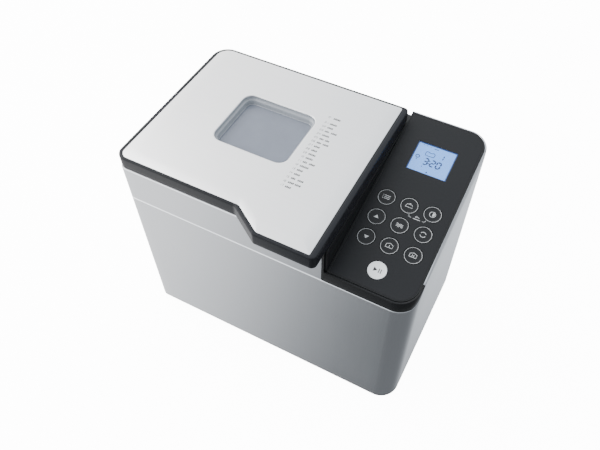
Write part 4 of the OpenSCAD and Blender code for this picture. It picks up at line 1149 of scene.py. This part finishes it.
def make_display():
    """Display: a glowing field under the lens, with digits, a loaf picture and small pointers in dark ink."""
    lo, hi = AT["lens_lo"], AT["lens_hi"]
    x0 = (lo.x + hi.x) / 2
    s_mid = ((lo.y + hi.y) / 2 - AT["front"]) * math.cos(AT["tilt"])
    s0 = s_mid + ((lo.z + hi.z) / 2 - AT["panel_front_z"]) * math.sin(AT["tilt"])
    half_x = (hi.x - lo.x) / 2
    half_s = (hi.y - lo.y) / 2 / math.cos(AT["tilt"]) - 0.1 * MM
    depth = 1.3 * MM
    rim = 1.1 * MM
    nx, ns = 24, 20
    u, v = np.meshgrid(np.linspace(-1, 1, nx), np.linspace(-1, 1, ns))
    sag = -0.02 * MM * (u**2 + v**2)
    field = slope_point(x0 + u * (half_x - rim), s0 + v * (half_s - rim), -depth + sag)
    build("display_field", field.reshape(-1, 3), loft_faces(ns, nx, False), "base", FINISHES["display"],
          ("lcd_module",))
    ring = []
    steps = [(-rim, -depth - 0.1 * MM), (-rim, -depth + 0.3 * MM), (0.0, -depth + 0.35 * MM), (0.0, -4 * MM)]
    for grow, up in steps:
        ex, es = half_x + grow, half_s + grow
        corners = [(-ex, -es, 0.8 * MM), (ex, -es, 0.8 * MM), (ex, es, 0.8 * MM), (-ex, es, 0.8 * MM)]
        p = outline(corners, 5, 1.0)[0]
        ring.append(slope_point(x0 + p[:, 0], s0 + p[:, 1], np.full(len(p), up)))
    build("display_surround", np.concatenate(ring), loft_faces(4, len(ring[0]), True), "base",
          FINISHES["surround"], (), False)
    shapes = []
    for figure, x in (("3", -8.6), ("2", -0.8), ("0", 6.0)):
        shapes += digit(figure, x, -7.4, 4.4, 8.4)
    shapes += [bar(-2.3, -4.8, 1.2, 1.2), bar(-1.9, -1.4, 1.2, 1.2)]
    shapes += digit("1", 6.5, 5.2, 3.4, 6.4)
    loaf = np.concatenate([arc_points(-8.2, 8.0, 2.0, 40, 190, 9), arc_points(-8.2, 6.4, 1.9, 200, 250, 4),
                           arc_points(-1.6, 6.4, 1.9, -70, -20, 4), arc_points(-1.6, 8.0, 2.0, -10, 140, 9)])
    shapes.append(strip(np.concatenate([loaf, loaf[:1]]), 0.75))
    shapes += [strip(arc_points(-17.0, 0.4, 2.0, 0, 360, 17), 0.9), bar(-17.0, -3.4, 1.4, 0.9)]
    shapes += [bar(-1.0, 16.2, 5.0, 0.8), np.array([(-1.2, -17.2), (1.2, -17.2), (0, -15.2)]),
               np.array([(-8.6, -11.4), (-7.0, -11.4), (-7.8, -10.0)])]
    shapes += [bar(-16 + 4 * i, 17.2, 1.6, 0.5) for i in range(3)]
    print_on_slope("display_marks", shapes, (x0, s0), -depth + 0.06 * MM, "base", FINISHES["segment"])


def word(x, y, wide, tall=2.5):
    """A word-like run of upright blocks: block k starts at x + 1.7 k, and every other one is lower."""
    count = max(2, round(wide / 1.7))
    return [bar(x + 0.7 + 1.7 * k, y + (0.0 if k % 2 else -0.07 * tall), 1.3, tall if k % 2 else 0.86 * tall)
            for k in range(count)]


def make_programme_list(sizes):
    """Printed list beside the window: a heading, and seventeen lines of a two-figure number and blocks."""
    hi = AT["pane_hi"]
    x0, top_y = (hi.x + sizes.list_gap) / MM, ((AT["pane_lo"].y + hi.y) / 2 + sizes.list_rise) / MM
    pitch = sizes.list_pitch / MM
    lengths = [9, 7.5, 13, 8.5, 11, 12, 7.5, 7, 8.5, 8, 12.5, 10, 6, 7, 13, 13.5, 6]
    shapes = [strip(arc_points(x0 + 1.2, top_y + 1.45 * pitch, 1.2, 0, 300, 15), 0.5)]
    shapes += word(x0 + 6.2, top_y + 1.45 * pitch, 9.0, 2.8)
    for i, wide in enumerate(lengths):
        y = top_y - pitch * i
        for k, character in enumerate(f"{i + 1:02d}"):
            shapes += digit(character, x0 + 2.3 * k, y - 1.2, 1.3, 2.4)
        shapes += word(x0 + 6.2, y, wide * (0.45 if wide > 10 else 1.0))
        if wide > 10:
            shapes += word(x0 + 6.2 + wide * 0.45 + 1.8, y, wide * 0.5)
    points, faces, first = [], [], 0
    for shape in shapes:
        shape = np.asarray(shape, float) * MM
        points.append(np.column_stack([shape, np.full(len(shape), AT["plate_top"] + 0.02 * MM)]))
        faces.append([first + i for i in range(len(shape))])
        first += len(shape)
    data = np.concatenate(points)
    return build("programme_list_print", data, faces, "lid", FINISHES["dark_ink"], smooth=False)


def make_feet():
    """Feet: a cup profile turned about each foot's axis, closed at the bottom by a slightly hollow face."""
    lo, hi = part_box("feet")
    r, h = 10 * MM, hi.z - lo.z
    centres = [(x, y) for x in (lo.x + r, hi.x - r) for y in (lo.y + r, hi.y - r)]
    profile = [(0.0, 0.5), (5.0, 0.5), (6.0, 0.3), (7.2, 0.0), (8.6, 0.05), (9.4, 0.5), (9.8, 1.2),
               (9.9, 1.8), (9.2, h / MM - 0.6), (8.9, h / MM), (0.0, h / MM)]
    around = 40
    angle = np.linspace(0, 2 * math.pi, around, endpoint=False)
    points, faces = [], []
    for x, y in centres:
        radius = np.array([p[0] for p in profile])[:, None] * MM
        z = np.array([p[1] for p in profile])[:, None] * MM + 0 * angle
        first = len(points) * len(profile) * around
        turned = np.stack([x + radius * np.cos(angle), y + radius * np.sin(angle), z], -1)
        points.append(turned.reshape(-1, 3))
        faces.append(loft_faces(len(profile), around, True) + first)
    return build("feet_moulded", np.concatenate(points), np.concatenate(faces), "base", FINISHES["rubber"],
                 ("feet",))


# ---------------------------------------------------------------------------------------------------------
# Pieces that keep their CAD shape
# ---------------------------------------------------------------------------------------------------------

# node: (finish, edge rounding in millimetres)
FITTINGS = {
    "side_vent": ("grey", 0.4), "deck_frame": ("black", 0.5), "base_plate": ("dark", 0.5),
    "base_screws": ("zinc", 0.2), "cord_gland": ("rubber", 0.6), "panel_housing": ("black", 0.25),
    "panel_overlay": ("overlay", 0.12), "control_board": ("board", 0.0), "tact_switches": ("dark", 0.15),
    "chamber_liner": ("liner", 0.4), "chamber_supports": ("zinc", 0.3), "heating_element": ("tube", 0.0),
    "element_insulators": ("ceramic", 0.3), "temperature_sensor": ("bronze", 0.2),
    "pan_clips": ("bright", 0.2),
    "bearing_housing": ("cast", 0.4), "shaft_bushes": ("bronze", 0.1), "drive_belt": ("belt", 0.2),
    "motor_housing": ("can", 0.5), "motor_mount": ("zinc", 0.3), "run_capacitor": ("ceramic", 0.6),
    "power_board": ("board", 0.2), "hinge_pins": ("turned", 0.2), "lid_inner_cover": ("cover", 0.3),
    "lid_seal": ("seal", 0.4), "lid_screws": ("zinc", 0.15), "drive_shaft": ("turned", 0.2),
    "large_pulley": ("pulley", 0.3), "drive_coupler": ("cast", 0.3), "motor_shaft": ("turned", 0.2),
    "motor_pulley": ("pulley", 0.2), "bread_pan": ("coating", 0.35), "pan_base_ring": ("cast", 0.3),
    "pan_bushing": ("bronze", 0.2), "pan_shaft": ("turned", 0.3), "pan_coupler": ("cast", 0.4),
    "kneading_paddle": ("coating", 0.6), "pan_handle": ("bright", 0.0),
}


def body_of(node):
    """Name of the body that a CAD node rides on."""
    return next(name for name, nodes in frame["record"]["behaviour"]["bodies"].items() if node in nodes)


def make_fittings():
    """Gives each inner fitting its finish and softened edges."""
    for node, (finish, width) in FITTINGS.items():
        piece = refined(node, body_of(node), FINISHES[finish], width * MM)


def make_lens():
    """Display lens keeps its CAD shape and gets a clear finish."""
    lens = frame["nodes"]["lcd_lens"]
    lens.data.materials.clear()
    lens.data.materials.append(FINISHES["lens"])


# ---------------------------------------------------------------------------------------------------------
# Stage
# ---------------------------------------------------------------------------------------------------------


def aim(item, target):
    """Turns an object so that its -Z axis points at a target."""
    item.rotation_euler = (Vector(target) - item.location).to_track_quat("-Z", "Y").to_euler()


def softbox(name, place, target, size, power):
    """Rectangular area light aimed at a target."""
    data = bpy.data.lights.new(name, "AREA")
    data.shape = "RECTANGLE"
    data.size, data.size_y = size
    data.energy = power
    light = bpy.data.objects.new(name, data)
    light.location = place
    bpy.context.scene.collection.objects.link(light)
    aim(light, target)
    return light


def make_studio():
    """Studio walls: brightness by direction, with a light ceiling and back wall, a glow at the left and front
    left, and a dimmer low right."""
    world = bpy.data.worlds.new("studio")
    bpy.context.scene.world = world
    world.use_nodes = True
    n = Nodes(world.node_tree)
    direction = n.node("ShaderNodeTexCoord", {}, {}, "Generated")
    x, y, z = (n.node("ShaderNodeSeparateXYZ", {}, {0: direction}, axis) for axis in range(3))
    above = z.above(0.15, 0.35)
    back_wall = (y + 0.3 * z).above(0.25, 0.45)
    left_glow = (0.0 - x).above(0.33, 0.22)
    right_dim = x.above(0.35, 0.2)
    front_glow = (0.0 - y).above(0.3, 0.3) * (0.0 - x).above(0.2, 0.35)
    high = 0.8 + back_wall * 1.2 + left_glow * 0.9 + front_glow * 3.0
    low = 0.25 + left_glow * 1.9 + back_wall * 2.0 - right_dim * back_wall * 1.3
    level = low + (high - low) * above
    tint = n.mix(left_glow, (0.90, 0.95, 1.0, 1.0), (1.0, 1.0, 1.0, 1.0))
    back = world.node_tree.nodes["Background"]
    world.node_tree.links.new(tint.socket, back.inputs[0])
    world.node_tree.links.new(level.socket, back.inputs[1])


def make_stage(looks):
    """Pale floor, even studio light and the camera at the product view."""
    floor_mesh = bpy.data.meshes.new("floor")
    half = 6.0
    corners = [(-half, -half, 0), (half, -half, 0), (half, half, 0), (-half, half, 0)]
    floor_mesh.from_pydata(corners, [], [(0, 1, 2, 3)])
    floor = bpy.data.objects.new("floor", floor_mesh)
    bpy.context.scene.collection.objects.link(floor)
    f = Finish("floor_paper")
    speck = f.noise(3.0, 2.0, 0.5)
    f.set(Base_Color=f.mix(speck, (0.9, 0.9, 0.9, 1.0), (0.93, 0.93, 0.93, 1.0)), Roughness=0.9,
          Emission_Color=(1.0, 1.0, 1.0, 1.0), Emission_Strength=looks.floor_glow)
    floor_mesh.materials.append(f.material)
    floor.visible_glossy = False
    floor.visible_diffuse = False
    make_studio()

    centre = (0.0, 0.0, 0.15)
    softbox("overhead", (-1.5, 0.2, 1.7), centre, (1.3, 1.0), looks.lamp)
    softbox("left_front", (-1.5, -0.9, 0.7), centre, (1.0, 0.9), 0.35 * looks.lamp)

    camera_data = bpy.data.cameras.new("camera")
    camera_data.sensor_width = 36.0
    camera_data.lens = 37.68
    camera_data.shift_x = -0.0152
    camera_data.shift_y = -0.0055
    camera = bpy.data.objects.new("camera", camera_data)
    azimuth, elevation, distance = math.radians(27.62), math.radians(52.17), 0.7875
    look = Vector((-math.sin(azimuth) * math.cos(elevation), math.cos(azimuth) * math.cos(elevation),
                   -math.sin(elevation)))
    camera.location = Vector((0.003, 0.0091, 0.145)) - look * distance
    bpy.context.scene.collection.objects.link(camera)
    camera.rotation_euler = look.to_track_quat("-Z", "Y").to_euler()
    bpy.context.scene.camera = camera


# ---------------------------------------------------------------------------------------------------------
# Operators and panel
# ---------------------------------------------------------------------------------------------------------


def sizes_of(context):
    """The sizes that the user can change."""
    return context.scene.bread_sizes


class BREAD_OT_finishes(bpy.types.Operator):
    """Make every material"""

    bl_idname = "bread.finishes"
    bl_label = "Finishes"

    def execute(self, context):
        make_finishes(context.scene.bread_looks)
        return {"FINISHED"}


class BREAD_OT_stage(bpy.types.Operator):
    """Set the floor, the light and the camera"""

    bl_idname = "bread.stage"
    bl_label = "Stage"

    def execute(self, context):
        make_stage(context.scene.bread_looks)
        return {"FINISHED"}


class BREAD_OT_body(bpy.types.Operator):
    """Build the wrap, the band, the fascia and the feet"""

    bl_idname = "bread.body"
    bl_label = "Body shells"

    def execute(self, context):
        sizes = sizes_of(context)
        make_wrap(sizes)
        make_band(sizes)
        make_fascia(sizes)
        make_feet()
        return {"FINISHED"}


class BREAD_OT_lid(bpy.types.Operator):
    """Build the lid rim, its stainless plate and its printed list"""

    bl_idname = "bread.lid"
    bl_label = "Lid"

    def execute(self, context):
        sizes = sizes_of(context)
        make_rim(sizes)
        make_plate(sizes)
        make_programme_list(sizes)
        return {"FINISHED"}


class BREAD_OT_window(bpy.types.Operator):
    """Build the window well and its two panes"""

    bl_idname = "bread.window"
    bl_label = "Window"

    def execute(self, context):
        sizes = sizes_of(context)
        make_window(sizes)
        make_pane(sizes, "window_outer_pane", "outer_pane")
        make_pane(sizes, "window_inner_pane", "inner_pane")
        return {"FINISHED"}


class BREAD_OT_keys(bpy.types.Operator):
    """Build the ten keys, their symbols and the printed bracket"""

    bl_idname = "bread.keys"
    bl_label = "Keys"

    def execute(self, context):
        make_keys(sizes_of(context))
        make_panel_print()
        return {"FINISHED"}


class BREAD_OT_display(bpy.types.Operator):
    """Build the backlit display and its marks"""

    bl_idname = "bread.display"
    bl_label = "Display"

    def execute(self, context):
        make_display()
        make_lens()
        return {"FINISHED"}


class BREAD_OT_fittings(bpy.types.Operator):
    """Finish every piece that keeps its CAD shape"""

    bl_idname = "bread.fittings"
    bl_label = "Fittings"

    def execute(self, context):
        make_fittings()
        return {"FINISHED"}


STEPS = [BREAD_OT_finishes, BREAD_OT_stage, BREAD_OT_body, BREAD_OT_lid, BREAD_OT_window, BREAD_OT_keys,
         BREAD_OT_display, BREAD_OT_fittings]


class BREAD_PT_panel(bpy.types.Panel):
    """Lists the sizes, the colours and the build steps"""

    bl_idname = "BREAD_PT_panel"
    bl_label = "Bread machine"
    bl_space_type = "VIEW_3D"
    bl_region_type = "UI"
    bl_category = "Bread machine"

    def draw(self, context):
        for group in (context.scene.bread_sizes, context.scene.bread_looks):
            for name in group.__annotations__:
                self.layout.prop(group, name)
        for step in STEPS:
            self.layout.operator(step.bl_idname)


CLASSES = [BreadSizes, BreadLooks, *STEPS, BREAD_PT_panel]


def register():
    """Registers every class and hangs both property groups on the scene."""
    for item in CLASSES:
        bpy.utils.register_class(item)
    bpy.types.Scene.bread_sizes = PointerProperty(type=BreadSizes)
    bpy.types.Scene.bread_looks = PointerProperty(type=BreadLooks)


def unregister():
    """Takes back what register did, in reverse order."""
    del bpy.types.Scene.bread_looks
    del bpy.types.Scene.bread_sizes
    for item in reversed(CLASSES):
        bpy.utils.unregister_class(item)


def main():
    """Registers the add-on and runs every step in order."""
    register()
    for step in STEPS:
        group, name = step.bl_idname.split(".")
        getattr(getattr(bpy.ops, group), name)()


if __name__ == "__main__":
    main()
